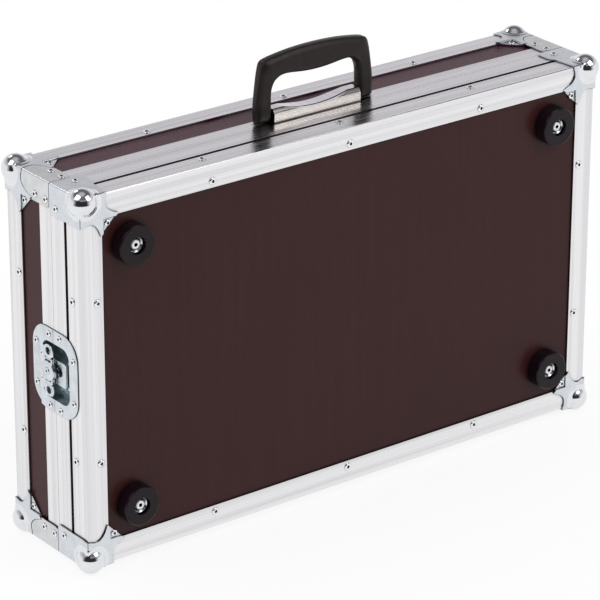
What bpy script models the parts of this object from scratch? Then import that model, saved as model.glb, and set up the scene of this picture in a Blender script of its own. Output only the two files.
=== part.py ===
"""Keyboard flight case, standing on its long rear edge with the handle up.

A shallow plywood base tray carries rubber feet on its outer face, and a deeper lid lifts
straight off it. Aluminium profiles frame both trays, zinc ball corners close the corners,
and a recessed butterfly latch on each end holds the trays together.
X runs along the case, Y from the feet towards the lid's back, Z up. Units are metres.
"""
import math

import bmesh
import bpy
from mathutils import Matrix, Vector

MM = 0.001
CLEARANCE = 0.3 * MM
OVERRUN = 5.0 * MM

# Case body, measured over the faces of the aluminium
LENGTH = 577.0 * MM
HEIGHT = 350.0 * MM
BASE_DEPTH = 45.5 * MM
LID_DEPTH = 68.7 * MM
BOARD = 7.0 * MM

# Aluminium profiles
WALL = 1.5 * MM
EDGE_LEG = 21.5 * MM
EDGE_INNER_LEG = 18.0 * MM
EDGE_CHAMFER = 0.6 * MM
WEB_OFFSET = 1.0 * MM
BASE_CLOSING_LEG = 20.0 * MM
LID_CLOSING_LEG = 17.5 * MM
CLOSING_INNER_LEG = 15.0 * MM
TONGUE_WIDTH = 2.0 * MM
TONGUE_HEIGHT = 3.5 * MM
TONGUE_CLEARANCE = 0.4 * MM
RIB_PITCH = 3.0 * MM
RIB_WIDTH = 0.9 * MM
RIB_DEPTH = 0.12 * MM

# Ball corners and lid corner braces
CORNER_SHEET = 1.3 * MM
BALL_RADIUS = 13.0 * MM
BALL_INSET = 6.0 * MM
BALL_SEGMENTS = 20
BALL_RELIEF = 0.1 * MM
PLATE_REACH = 26.0 * MM
SWOOP_WIDTH = 14.5 * MM
SWOOP_DEPTH = 20.0 * MM
LOBE_NEAR = 20.0 * MM
LOBE_FAR = 41.0 * MM
BASE_LOBE_FAR = 38.0 * MM
BASE_PLATE_NECK = 26.8 * MM
BASE_PLATE_NECK_DEPTH = 8.0 * MM
BASE_PLATE_BEND_DEPTH = 18.5 * MM
BASE_PLATE_FLARE_DEPTH = 31.0 * MM
BASE_PLATE_WIDTH = 31.6 * MM
BASE_PLATE_NIP = 2.0 * MM
BASE_PLATE_NIP_RUN = 4.0 * MM
BRACE_WIDTH = 22.2 * MM
BRACE_TAPER = 4.5 * MM
BRACE_GAP = 0.7 * MM
SWOOP_STEPS = 6

# Rubber feet
FOOT_RADIUS = 18.4 * MM
FOOT_FACE_RADIUS = 17.3 * MM
FOOT_HEIGHT = 13.0 * MM
FOOT_SHOULDER = 11.4 * MM
FOOT_RECESS_RADIUS = 8.0 * MM
FOOT_RECESS_FLOOR = 6.0 * MM
FOOT_BORE_RADIUS = 2.6 * MM
FOOT_INSET = 50.9 * MM
FOOT_SEGMENTS = 32

# Foam lining
FOAM_RIM = 30.0 * MM
BASE_FOAM_FLOOR = 12.0 * MM
LID_FOAM_FLOOR = 12.0 * MM
FOAM_SETBACK = 3.5 * MM

# Handle: rail, pins and grip
RAIL_HALF_LENGTH = 48.5 * MM
RAIL_WIDTH = 15.5 * MM
RAIL_OFFSET = 1.6 * MM
RAIL_HEIGHT = 12.5 * MM
RAIL_CHAMFER_DROP = 3.5 * MM
RAIL_CHAMFER_RUN = 2.5 * MM
RAIL_DIP_HEIGHT = 7.4 * MM
RAIL_DIP_HALF_LENGTH = 36.0 * MM
RAIL_DIP_STEPS = 12
PIN_HEIGHT = 6.8 * MM
PIN_RADIUS = 2.5 * MM
PIN_BORE_RADIUS = 2.9 * MM
PIN_BITE = 8.0 * MM
PIN_COVER = 6.0 * MM
PIN_SEGMENTS = 12
GRIP_HALF_WIDTH = 65.5 * MM
GRIP_CROWN = 64.5 * MM
GRIP_THICKNESS = 15.0 * MM
GRIP_RIM_THICKNESS = 7.0 * MM
GRIP_PLAY = 0.7 * MM

# Grip sections from foot to crown, in shares of its half width, crown height and thickness:
# outer edge across and up, inner edge across and up, thickness
GRIP_SHAPE = (
    (0.997, 0.014, 1.000, 0.014, 0.29),
    (0.998, 0.040, 1.000, 0.040, 0.57),
    (1.000, 0.105, 1.000, 0.105, 0.80),
    (0.997, 0.310, 1.000, 0.310, 0.80),
    (0.951, 0.589, 0.996, 0.465, 0.86),
    (0.908, 0.775, 0.945, 0.574, 0.94),
    (0.863, 0.876, 0.854, 0.636, 1.00),
    (0.763, 0.919, 0.732, 0.664, 1.00),
    (0.580, 0.961, 0.569, 0.659, 1.00),
    (0.382, 0.986, 0.366, 0.639, 1.00),
    (0.183, 0.997, 0.183, 0.625, 1.00),
    (0.000, 1.000, 0.000, 0.620, 1.00),
)
# Half thickness over each section, from its inner edge to its outer rim
GRIP_SECTION = ((0.00, 0.60), (0.15, 1.00), (0.82, 0.85))

# Butterfly latch: dish halves, rotor key, claw and wings
LATCH_SHEET = 1.2 * MM
FLANGE_LID_REACH = 35.3 * MM
FLANGE_BASE_REACH = 36.2 * MM
FLANGE_HALF_HEIGHT = 39.4 * MM
FLANGE_RADIUS = 22.0 * MM
FLANGE_STEP_START = 20.8 * MM
FLANGE_STEP_RUN = 1.8 * MM
WINDOW_LID_REACH = 17.5 * MM
WINDOW_BASE_REACH = 24.3 * MM
WINDOW_HALF_HEIGHT = 26.8 * MM
WINDOW_RADIUS = 10.0 * MM
TUB_FLOOR = 7.4 * MM
ARC_STEPS = 8
ROTOR_OFFSET = 5.0 * MM
TONGUE_HALF_HEIGHT = 12.7 * MM
TONGUE_ROOT_STEP = 2
SHAFT_RADIUS = 3.0 * MM
SHAFT_BORE_RADIUS = 3.4 * MM
POST_RADIUS = 9.4 * MM
POST_HEIGHT = 4.2 * MM
ROUND_SEGMENTS = 24
SHAFT_SEGMENTS = 16
LUG_REACH = 12.3 * MM
LUG_WIDTH = 2.0 * MM
LUG_HEIGHT = 2.4 * MM
WING_PIVOT = 10.9 * MM
WING_PIVOT_HEIGHT = 1.2 * MM
WING_KNUCKLE_RADIUS = 1.15 * MM
WING_PIN_RADIUS = 0.62 * MM
WING_PIN_BORE_RADIUS = 1.05 * MM
WING_PIN_SEGMENTS = 8
WING_NECK_HALF_WIDTH = 3.9 * MM
WING_NECK_LENGTH = 2.6 * MM
WING_HALF_WIDTH = 7.4 * MM
WING_LENGTH = 13.7 * MM
WING_SHOULDER = 6.2 * MM
WING_EYE_RADIUS = 3.6 * MM
WING_EYE_PLACE = 7.9 * MM
CLAW_THICKNESS = 1.6 * MM
CLAW_DROP = 0.4 * MM
CLAW_HALF_HEIGHT = 11.5 * MM
CLAW_REACH = 17.1 * MM
CLAW_TAIL = 14.8 * MM
CLAW_CORNER = 1.5 * MM
CLAW_TRAVEL = 4.0 * MM
KEEPER_NEAR = 10.5 * MM
KEEPER_FAR = 13.5 * MM
KEEPER_HALF_HEIGHT = 8.0 * MM

# Derived places
SLOT = BOARD + 2 * CLEARANCE
PROFILE_BACK = 2 * WALL + SLOT
BOARD_FACE = WALL + CLEARANCE
BOARD_BACK = BOARD_FACE + BOARD
BOARD_EDGE = WALL + SLOT + WEB_OFFSET + CLEARANCE
MITRE_GAP = CLEARANCE / math.sqrt(2)
BALL_PROUD = BALL_RADIUS - BALL_INSET
FOOT_PROUD = FOOT_HEIGHT - WALL
PARTING_Y = ((BASE_DEPTH + FOOT_PROUD) - (LID_DEPTH + BALL_PROUD)) / 2
FRONT_Y = PARTING_Y - BASE_DEPTH
BACK_Y = PARTING_Y + LID_DEPTH
BOTTOM_Z = BALL_PROUD
TOP_Z = BOTTOM_Z + HEIGHT
MID_Z = BOTTOM_Z + HEIGHT / 2
HALF_GAP = CLEARANCE / 2
GROOVE_DEPTH = TONGUE_HEIGHT + TONGUE_CLEARANCE
BASE_SLOT_FLOOR = GROOVE_DEPTH + WALL
LID_SLOT_FLOOR = 2 * WALL
PLATE_OUT = -(CLEARANCE + CORNER_SHEET)
PLATE_IN = -CLEARANCE
FLANGE_OUT = -(CLEARANCE + LATCH_SHEET)
FLANGE_IN = -CLEARANCE
POST_IN = FLANGE_OUT - CLEARANCE
POST_OUT = POST_IN - POST_HEIGHT
PIN_Z = TOP_Z + PIN_HEIGHT
RAIL_Y = PARTING_Y + RAIL_OFFSET + RAIL_WIDTH / 2
PIN_END = GRIP_HALF_WIDTH - PIN_COVER
GRIP_INNER_HALF_WIDTH = RAIL_HALF_LENGTH + GRIP_PLAY

SIDES = {
    "left": (Vector((-1, 0, 0)), Vector((0, 0, 1))),
    "right": (Vector((1, 0, 0)), Vector((0, 0, 1))),
    "top": (Vector((0, 0, 1)), Vector((1, 0, 0))),
    "bottom": (Vector((0, 0, -1)), Vector((1, 0, 0))),
}
COLOURS = {
    "aluminium": ((0.78, 0.78, 0.80), 0.35, 1.0),
    "zinc": ((0.72, 0.75, 0.78), 0.25, 1.0),
    "steel": ((0.60, 0.61, 0.63), 0.30, 1.0),
    "phenolic_plywood": ((0.060, 0.022, 0.024), 0.45, 0.0),
    "rubber": ((0.012, 0.012, 0.013), 0.60, 0.0),
    "grip_plastic": ((0.014, 0.013, 0.012), 0.40, 0.0),
    "foam": ((0.020, 0.020, 0.022), 0.95, 0.0),
}


def clear_scene():
    """Empties the scene of whatever it holds."""
    for item in list(bpy.data.objects):
        bpy.data.objects.remove(item, do_unlink=True)


def material_for(item, finish):
    """Gives a piece its own Principled material in the named finish."""
    colour, roughness, metallic = COLOURS[finish]
    made = bpy.data.materials.new(f"{item.name}_{finish}")
    made.use_nodes = True
    shader = made.node_tree.nodes["Principled BSDF"]
    shader.inputs["Base Color"].default_value = (*colour, 1.0)
    shader.inputs["Roughness"].default_value = roughness
    shader.inputs["Metallic"].default_value = metallic
    item.data.materials.clear()
    item.data.materials.append(made)


def body(name, work):
    """Turns a bmesh into a scene object with its faces pointing out."""
    if work.calc_volume(signed=True) < 0:
        bmesh.ops.reverse_faces(work, faces=work.faces)
    mesh = bpy.data.meshes.new(name)
    work.to_mesh(mesh)
    work.free()
    item = bpy.data.objects.new(name, mesh)
    bpy.context.scene.collection.objects.link(item)
    return item


def loft(name, rings):
    """A closed solid through rings of equal point count, capped at both ends."""
    work = bmesh.new()
    loops = [[work.verts.new(point) for point in ring] for ring in rings]
    for near, far in zip(loops, loops[1:]):
        for index, vert in enumerate(near):
            nxt = (index + 1) % len(near)
            work.faces.new((vert, near[nxt], far[nxt], far[index]))
    work.faces.new(list(reversed(loops[0])))
    work.faces.new(loops[-1])
    return body(name, work)


def box(name, low, high):
    """A box between two corners."""
    ring_low = [(low[0], low[1]), (high[0], low[1]), (high[0], high[1]), (low[0], high[1])]
    return loft(name, [[Vector((x, y, z)) for x, y in ring_low] for z in (low[2], high[2])])


def rod(name, centre, axis, radius, start, end, segments):
    """A round bar along X (0), Y (1) or Z (2), from start to end on that axis."""
    rings = []
    for place in (start, end):
        ring = []
        for index in range(segments):
            turn = 2 * math.pi * (index + 0.5) / segments
            point = Vector(centre)
            point[axis] = place
            point[(axis + 1) % 3] += radius * math.cos(turn)
            point[(axis + 2) % 3] += radius * math.sin(turn)
            ring.append(point)
        rings.append(ring)
    return loft(name, rings)


def settle(item):
    """Replaces a piece's mesh by its evaluated one, modifiers included."""
    graph = bpy.context.evaluated_depsgraph_get()
    mesh = bpy.data.meshes.new_from_object(item.evaluated_get(graph))
    item.modifiers.clear()
    item.data = mesh
    mesh.name = item.name


def combine(item, others, operation):
    """Joins others to a piece, or cuts them from it, and removes them."""
    for other in others:
        other.hide_render = True
        other.display_type = 'WIRE'
        step = item.modifiers.new(other.name, 'BOOLEAN')
        step.operation = operation
        step.solver = 'EXACT'
        step.object = other
    settle(item)
    for other in others:
        bpy.data.objects.remove(other, do_unlink=True)
    return item


def unite(item, *others):
    return combine(item, others, 'UNION')


def cut(item, *others):
    return combine(item, others, 'DIFFERENCE')


def reflected(item, name, axis, plane):
    """A mirror copy of a piece across a plane square to an axis."""
    work = bmesh.new()
    work.from_mesh(item.data)
    for vert in work.verts:
        vert.co[axis] = 2 * plane - vert.co[axis]
    return body(name, work)


def arc(centre, radius, start, end, steps):
    """Points of an arc between two angles in degrees, both ends included."""
    points = []
    for index in range(steps + 1):
        turn = math.radians(start + (end - start) * index / steps)
        points.append((centre[0] + radius * math.cos(turn), centre[1] + radius * math.sin(turn)))
    return points


def swoop(start, bend, end, steps):
    """Points of a quadratic curve from start to end, drawn towards bend."""
    points = []
    for index in range(steps + 1):
        t = index / steps
        weights = ((1 - t) ** 2, 2 * t * (1 - t), t ** 2)
        points.append(tuple(sum(w * p[k] for w, p in zip(weights, (start, bend, end)))
                            for k in range(2)))
    return points


def half_size(direction):
    """Half the case's size along a unit direction in the X-Z plane."""
    return abs(direction.x) * LENGTH / 2 + abs(direction.z) * HEIGHT / 2


def rib_run(start, end):
    """(place, depth) pairs along a leg's outer face, with shallow ribs at their pitch."""
    count = int(abs(end - start) / RIB_PITCH)
    way = 1 if end > start else -1
    margin = (abs(end - start) - (count - 1) * RIB_PITCH) / 2
    run = [(start, 0)]
    for number in range(count):
        middle = start + way * (margin + number * RIB_PITCH)
        run.append((middle - way * RIB_WIDTH / 2, 0))
        run.append((middle, RIB_DEPTH))
        run.append((middle + way * RIB_WIDTH / 2, 0))
    run.append((end, 0))
    return run


def edge_section(face_y, inward):
    """Edge profile as (inset, y) points: two ribbed legs, a slot for each board, a web."""
    slot_floor = WALL + SLOT
    points = list(rib_run(EDGE_CHAMFER, EDGE_LEG))
    points += [(EDGE_LEG, WALL), (WALL + WEB_OFFSET, WALL)]
    points += [(slot_floor + WEB_OFFSET, slot_floor), (EDGE_INNER_LEG, slot_floor)]
    points += [(EDGE_INNER_LEG, PROFILE_BACK), (PROFILE_BACK, PROFILE_BACK)]
    points += [(PROFILE_BACK, EDGE_INNER_LEG), (slot_floor, EDGE_INNER_LEG)]
    points += [(slot_floor, slot_floor + WEB_OFFSET), (WALL, WALL + WEB_OFFSET)]
    points += [(WALL, EDGE_LEG)]
    points += [(depth, place) for place, depth in rib_run(EDGE_LEG, EDGE_CHAMFER)]
    return [(inset, face_y + inward * depth) for inset, depth in points]


def closing_section(inward, leg, slot_floor, joint):
    """Closing profile as (inset, y) points, from the parting plane inward along one tray."""
    points = [(depth, place) for place, depth in rib_run(HALF_GAP, leg)]
    points += [(WALL, leg), (WALL, slot_floor), (WALL + SLOT, slot_floor)]
    points += [(WALL + SLOT, CLOSING_INNER_LEG), (PROFILE_BACK, CLOSING_INNER_LEG)]
    points += [(PROFILE_BACK, HALF_GAP)]
    points += joint
    return [(inset, PARTING_Y + inward * depth) for inset, depth in points]


def base_closing_section():
    """The base's closing profile, with the groove that takes the lid's tongue."""
    middle = PROFILE_BACK / 2
    half = TONGUE_WIDTH / 2 + TONGUE_CLEARANCE
    groove = [(middle + half, HALF_GAP), (middle + half, GROOVE_DEPTH)]
    groove += [(middle - half, GROOVE_DEPTH), (middle - half, HALF_GAP)]
    return closing_section(-1, BASE_CLOSING_LEG, BASE_SLOT_FLOOR, groove)


def lid_closing_section():
    """The lid's closing profile, with its tongue."""
    middle = PROFILE_BACK / 2
    half = TONGUE_WIDTH / 2
    tongue = [(middle + half, HALF_GAP), (middle + half, -TONGUE_HEIGHT)]
    tongue += [(middle - half, -TONGUE_HEIGHT), (middle - half, HALF_GAP)]
    return closing_section(1, LID_CLOSING_LEG, LID_SLOT_FLOOR, tongue)


def frame_bar(name, side, section):
    """One mitred side of a rectangular aluminium frame, from its (inset, y) section."""
    outward, along = SIDES[side]
    rings = []
    for end in (-1, 1):
        ring = []
        for inset, y in section:
            run = end * (half_size(along) - inset - MITRE_GAP)
            point = outward * (half_size(outward) - inset) + along * run
            ring.append(Vector((point.x, y, MID_Z + point.z)))
        rings.append(ring)
    return loft(name, rings)


def latch_pocket(side):
    """The cutter that clears an end wall for the latch dish."""
    way = SIDES[side][0].x
    face = way * (LENGTH / 2 + OVERRUN)
    floor = way * (LENGTH / 2 - (TUB_FLOOR + LATCH_SHEET + CLEARANCE))
    margin = LATCH_SHEET + CLEARANCE
    reach = WINDOW_HALF_HEIGHT + margin
    low = (min(face, floor), PARTING_Y - WINDOW_BASE_REACH - margin, MID_Z - reach)
    high = (max(face, floor), PARTING_Y + WINDOW_LID_REACH + margin, MID_Z + reach)
    return box(f"latch_pocket_{side}", low, high)


def make_frames():
    """Edge and closing profiles of both trays, sixteen bars in all."""
    sections = {
        "base_edge_profile": edge_section(FRONT_Y, 1),
        "base_closing_profile": base_closing_section(),
        "lid_closing_profile": lid_closing_section(),
        "lid_edge_profile": edge_section(BACK_Y, -1),
    }
    for kind, section in sections.items():
        for side in SIDES:
            bar = frame_bar(f"{kind}_{side}", side, section)
            if kind != "lid_edge_profile" and side in ("left", "right"):
                cut(bar, latch_pocket(side))
            material_for(bar, "aluminium")


def make_boards():
    """The plywood panels and wall boards, held in the profiles' slots."""
    half_x = LENGTH / 2
    half_z = HEIGHT / 2
    trays = {
        "base": (FRONT_Y, 1, FRONT_Y + BOARD_EDGE, PARTING_Y - BASE_SLOT_FLOOR - CLEARANCE),
        "lid": (BACK_Y, -1, PARTING_Y + LID_SLOT_FLOOR + CLEARANCE, BACK_Y - BOARD_EDGE),
    }
    for tray, (face_y, inward, y_low, y_high) in trays.items():
        panel_y = sorted((face_y + inward * BOARD_FACE, face_y + inward * BOARD_BACK))
        panel = box(f"{tray}_panel",
                    (BOARD_EDGE - half_x, panel_y[0], MID_Z - half_z + BOARD_EDGE),
                    (half_x - BOARD_EDGE, panel_y[1], MID_Z + half_z - BOARD_EDGE))
        material_for(panel, "phenolic_plywood")
        for side, (outward, _) in SIDES.items():
            across = sorted((half_size(outward) - BOARD_FACE, half_size(outward) - BOARD_BACK))
            if outward.z:
                z_range = sorted(MID_Z + outward.z * place for place in across)
                x_range = (BOARD_FACE - half_x, half_x - BOARD_FACE)
            else:
                reach = half_z - BOARD_BACK - CLEARANCE
                z_range = (MID_Z - reach, MID_Z + reach)
                x_range = sorted(outward.x * place for place in across)
            board = box(f"{tray}_board_{side}", (x_range[0], y_low, z_range[0]),
                        (x_range[1], y_high, z_range[1]))
            if outward.x:
                cut(board, latch_pocket(side))
            material_for(board, "phenolic_plywood")


def make_foam():
    """The foam lining of each tray, with the pocket that the keyboard lies in."""
    half_x = LENGTH / 2 - PROFILE_BACK - CLEARANCE
    half_z = HEIGHT / 2 - PROFILE_BACK - CLEARANCE
    for tray, face_y, inward, floor in (("base", FRONT_Y, 1, BASE_FOAM_FLOOR),
                                        ("lid", BACK_Y, -1, LID_FOAM_FLOOR)):
        back = face_y + inward * (PROFILE_BACK + CLEARANCE)
        front = PARTING_Y - inward * FOAM_SETBACK
        y_low, y_high = sorted((back, front))
        lining = box(f"{tray}_foam_lining", (-half_x, y_low, MID_Z - half_z),
                     (half_x, y_high, MID_Z + half_z))
        p_low, p_high = sorted((back + inward * floor, front + inward * OVERRUN))
        pocket = box("foam_pocket", (FOAM_RIM - half_x, p_low, MID_Z - half_z + FOAM_RIM),
                     (half_x - FOAM_RIM, p_high, MID_Z + half_z - FOAM_RIM))
        cut(lining, pocket)
        material_for(lining, "foam")


def make_feet():
    """Four turned rubber feet, recessed for their rivet."""
    profile = [(FOOT_BORE_RADIUS, 0), (FOOT_RADIUS, 0), (FOOT_RADIUS, FOOT_SHOULDER)]
    profile += [(FOOT_FACE_RADIUS, FOOT_HEIGHT), (FOOT_RECESS_RADIUS, FOOT_HEIGHT)]
    profile += [(FOOT_RECESS_RADIUS, FOOT_RECESS_FLOOR), (FOOT_BORE_RADIUS, FOOT_RECESS_FLOOR)]
    work = bmesh.new()
    rings = []
    for index in range(FOOT_SEGMENTS):
        turn = 2 * math.pi * index / FOOT_SEGMENTS
        rings.append([work.verts.new((r * math.cos(turn), -h, r * math.sin(turn))) for r, h in profile])
    for index, ring in enumerate(rings):
        nxt = rings[(index + 1) % FOOT_SEGMENTS]
        for step in range(len(profile)):
            after = (step + 1) % len(profile)
            work.faces.new((ring[step], ring[after], nxt[after], nxt[step]))
    pattern = body("foot_pattern", work)
    half_x = LENGTH / 2 - FOOT_INSET
    half_z = HEIGHT / 2 - FOOT_INSET
    for row, z in (("top", half_z), ("bottom", -half_z)):
        for end, x in (("left", -half_x), ("right", half_x)):
            foot = bpy.data.objects.new(f"foot_{row}_{end}", pattern.data.copy())
            foot.location = (x, FRONT_Y + WALL, MID_Z + z)
            bpy.context.scene.collection.objects.link(foot)
            material_for(foot, "rubber")
    bpy.data.objects.remove(pattern, do_unlink=True)


def corner_slab(name, outline, normal, low, high):
    """A slab in a case corner's own frame; outline runs along the two axes beside its normal."""
    first, second = [axis for axis in range(3) if axis != normal]
    rings = []
    for depth in (low, high):
        ring = []
        for u, v in outline:
            local = Vector((0, 0, 0))
            local[normal] = depth
            local[first] = u
            local[second] = v
            ring.append(local)
        rings.append(ring)
    return loft(name, rings)


def plate_edge(far):
    """One swooping edge of a ball corner's plate, from the case's edge to its lobe."""
    return swoop((PLATE_OUT, PLATE_REACH), (SWOOP_WIDTH, SWOOP_DEPTH), (LOBE_NEAR, far), SWOOP_STEPS)


def lobed_plate(name, normal, tip):
    """A ball corner's plate on one face, its lobe stepped down onto the board."""
    edge = plate_edge(tip)
    outline = [(PLATE_OUT, PLATE_OUT)] + edge + [(v, u) for u, v in reversed(edge)]
    plate = corner_slab(name, outline, normal, PLATE_OUT, PLATE_IN)
    fold = EDGE_LEG + CLEARANCE
    far = LOBE_NEAR + tip - fold
    floor = BOARD_FACE - CLEARANCE
    unite(plate, corner_slab("lobe", [(fold, fold), (fold, far), (far, fold)], normal,
                             (PLATE_OUT + PLATE_IN) / 2, floor))
    rim = fold + CORNER_SHEET
    over = tip + OVERRUN
    pocket = [(rim, rim), (rim, over), (over, over), (over, rim)]
    cut(plate, corner_slab("lobe_pocket", pocket, normal, PLATE_OUT - OVERRUN, floor - CORNER_SHEET))
    return plate


def base_side_outline(width, flare):
    """The base ball corner's plate on a side of the case, as far as the parting line."""
    end = BASE_DEPTH - HALF_GAP
    outline = [(PLATE_OUT, end), (width - BASE_PLATE_NIP, end), (width, end - BASE_PLATE_NIP_RUN)]
    outline += flare
    outline += [(BASE_PLATE_NECK, BASE_PLATE_NECK_DEPTH), (PLATE_REACH, PLATE_OUT)]
    return outline + [(PLATE_OUT, PLATE_OUT)]


def base_flare():
    """The widening of the base ball corner's plate on a long side."""
    bend = (BASE_PLATE_NECK, BASE_PLATE_BEND_DEPTH)
    neck = (BASE_PLATE_NECK, BASE_PLATE_NECK_DEPTH)
    return swoop((BASE_PLATE_WIDTH, BASE_PLATE_FLARE_DEPTH), bend, neck, SWOOP_STEPS)[:-1]


def ball():
    """The pressed ball of a corner, and the cutter that clears the case's own corner."""
    work = bmesh.new()
    bmesh.ops.create_uvsphere(work, u_segments=BALL_SEGMENTS, v_segments=BALL_SEGMENTS // 2,
                              radius=BALL_RADIUS)
    bmesh.ops.translate(work, verts=work.verts, vec=(BALL_INSET, BALL_INSET, BALL_INSET))
    globe = body("ball", work)
    near = -(CLEARANCE + BALL_RELIEF)
    far = BALL_INSET + BALL_RADIUS + CLEARANCE
    return globe, box("ball_core", (near, near, near), (far, far, far))


def at_corners(item, stem, face_y, inward):
    """Mirror copies, one at each corner of a tray, of a piece made in the corner's own frame."""
    made = []
    for row, up in (("top", 1), ("bottom", -1)):
        for end, way in (("left", -1), ("right", 1)):
            work = bmesh.new()
            work.from_mesh(item.data)
            for vert in work.verts:
                across = way * (LENGTH / 2 - vert.co.x)
                vert.co = (across, face_y + inward * vert.co.y, MID_Z + up * (HEIGHT / 2 - vert.co.z))
            made.append(body(f"{stem}_{row}_{end}", work))
    bpy.data.objects.remove(item, do_unlink=True)
    return made


def make_ball_corner(tray):
    """The four ball corners of a tray, each with a plate on three faces of the case."""
    face_y, inward = (FRONT_Y, 1) if tray == "base" else (BACK_Y, -1)
    corner = lobed_plate("corner_pattern", 1, BASE_LOBE_FAR if tray == "base" else LOBE_FAR)
    if tray == "base":
        end_side = [(v, u) for u, v in base_side_outline(BASE_PLATE_NECK, [])]
        end_plate = corner_slab("end_plate", end_side, 0, PLATE_OUT, PLATE_IN)
        top_side = base_side_outline(BASE_PLATE_WIDTH, base_flare())
        top_plate = corner_slab("top_plate", top_side, 2, PLATE_OUT, PLATE_IN)
    else:
        end_plate = lobed_plate("end_plate", 0, LOBE_FAR)
        top_plate = lobed_plate("top_plate", 2, LOBE_FAR)
    globe, core = ball()
    unite(corner, end_plate, top_plate, globe)
    cut(corner, core)
    for piece in at_corners(corner, f"{tray}_ball_corner", face_y, inward):
        material_for(piece, "zinc")


def make_braces():
    """The four angle braces on the lid's corners, between ball corner and parting line."""
    outline = [(u, v + BRACE_GAP) for u, v in plate_edge(LOBE_FAR)]
    outline += [(BRACE_WIDTH, LOBE_FAR + BRACE_GAP), (BRACE_WIDTH, LID_DEPTH - BRACE_TAPER)]
    outline += [(BRACE_WIDTH - BRACE_TAPER / 2, LID_DEPTH - HALF_GAP), (PLATE_OUT, LID_DEPTH - HALF_GAP)]
    brace = corner_slab("brace_pattern", outline, 2, PLATE_OUT, PLATE_IN)
    unite(brace, corner_slab("brace_end", [(v, u) for u, v in outline], 0, PLATE_OUT, PLATE_IN))
    for piece in at_corners(brace, "lid_corner_brace", BACK_Y, -1):
        material_for(piece, "zinc")


def make_rail():
    """The handle's aluminium rail, scooped in an arc between the ends that hold the pins."""
    half = RAIL_WIDTH / 2
    foot_z = TOP_Z + CLEARANCE
    crest = foot_z + RAIL_HEIGHT
    section = [(-half, foot_z), (half, foot_z), (half, crest - RAIL_CHAMFER_DROP)]
    section += [(half - RAIL_CHAMFER_RUN, crest), (RAIL_CHAMFER_RUN - half, crest)]
    section += [(-half, crest - RAIL_CHAMFER_DROP)]
    rings = [[Vector((x, RAIL_Y + y, z)) for y, z in section] for x in (-RAIL_HALF_LENGTH, RAIL_HALF_LENGTH)]
    rail = loft("handle_rail", rings)
    dip = RAIL_HEIGHT - RAIL_DIP_HEIGHT
    radius = (RAIL_DIP_HALF_LENGTH ** 2 + dip ** 2) / (2 * dip)
    sweep = math.degrees(math.asin((RAIL_DIP_HALF_LENGTH + OVERRUN) / radius))
    curve = arc((0, foot_z + RAIL_DIP_HEIGHT + radius), radius, -90 - sweep, -90 + sweep, RAIL_DIP_STEPS)
    edges = [RAIL_Y - half - OVERRUN, RAIL_Y + half + OVERRUN]
    cut(rail, loft("dip", [[Vector((x, y, z)) for x, z in curve] for y in edges]))
    for end in (-1, 1):
        floor = end * (RAIL_HALF_LENGTH - PIN_BITE - CLEARANCE)
        mouth = end * (RAIL_HALF_LENGTH + OVERRUN)
        cut(rail, rod("bore", (0, RAIL_Y, PIN_Z), 0, PIN_BORE_RADIUS, floor, mouth, PIN_SEGMENTS))
    material_for(rail, "aluminium")
    for label, end in (("left", -1), ("right", 1)):
        pin = rod(f"handle_pin_{label}", (0, RAIL_Y, PIN_Z), 0, PIN_RADIUS,
                  end * (RAIL_HALF_LENGTH - PIN_BITE), end * PIN_END, PIN_SEGMENTS)
        material_for(pin, "steel")


def grip_ring(way, shape):
    """One closed section of the grip, from its inner edge to its rim and back."""
    outer_x, outer_z, inner_x, inner_z, thickness = shape
    outer = Vector((way * outer_x * GRIP_HALF_WIDTH, 0, outer_z * GRIP_CROWN))
    inner = Vector((way * inner_x * GRIP_INNER_HALF_WIDTH, 0, inner_z * GRIP_CROWN))
    half = thickness * GRIP_THICKNESS / 2
    rim = min(thickness * GRIP_RIM_THICKNESS / 2, half)
    profile = [(share, part * half) for share, part in GRIP_SECTION] + [(1, rim)]
    near = [inner.lerp(outer, share) - Vector((0, depth, 0)) for share, depth in profile]
    far = [inner.lerp(outer, share) + Vector((0, depth, 0)) for share, depth in reversed(profile)]
    return [point + Vector((0, RAIL_Y, TOP_Z)) for point in near + far]


def make_grip():
    """The moulded grip that swings on the two pins."""
    rings = [grip_ring(-1, shape) for shape in GRIP_SHAPE]
    rings += [grip_ring(1, shape) for shape in reversed(GRIP_SHAPE[:-1])]
    grip = loft("handle_grip", rings)
    for end in (-1, 1):
        cut(grip, rod("bore", (0, RAIL_Y, PIN_Z), 0, PIN_BORE_RADIUS, end * (RAIL_HALF_LENGTH - OVERRUN),
                      end * (PIN_END + CLEARANCE), PIN_SEGMENTS))
    material_for(grip, "grip_plastic")


def end_point(depth, across, up):
    """A place on the left end: depth inward from the face, across from the parting line, up."""
    return Vector((depth - LENGTH / 2, PARTING_Y + across, MID_Z + up))


def end_slab(name, outline, low, high):
    """A slab on the left end from an (across, up) outline, between two depths."""
    return loft(name, [[end_point(depth, d, z) for d, z in outline] for depth in (low, high)])


def half_plate(reach, half_height, radius, start):
    """Half of a rounded plate: square at the parting line, rounded at its outer side."""
    way = 1 if reach > 0 else -1
    middle = (abs(reach) - radius, half_height - radius)
    upper = [(way * x, z) for x, z in arc(middle, radius, 0, 90, ARC_STEPS)]
    lower = [(x, -z) for x, z in reversed(upper)]
    return [(start, -half_height)] + lower + upper + [(start, half_height)]


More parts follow.
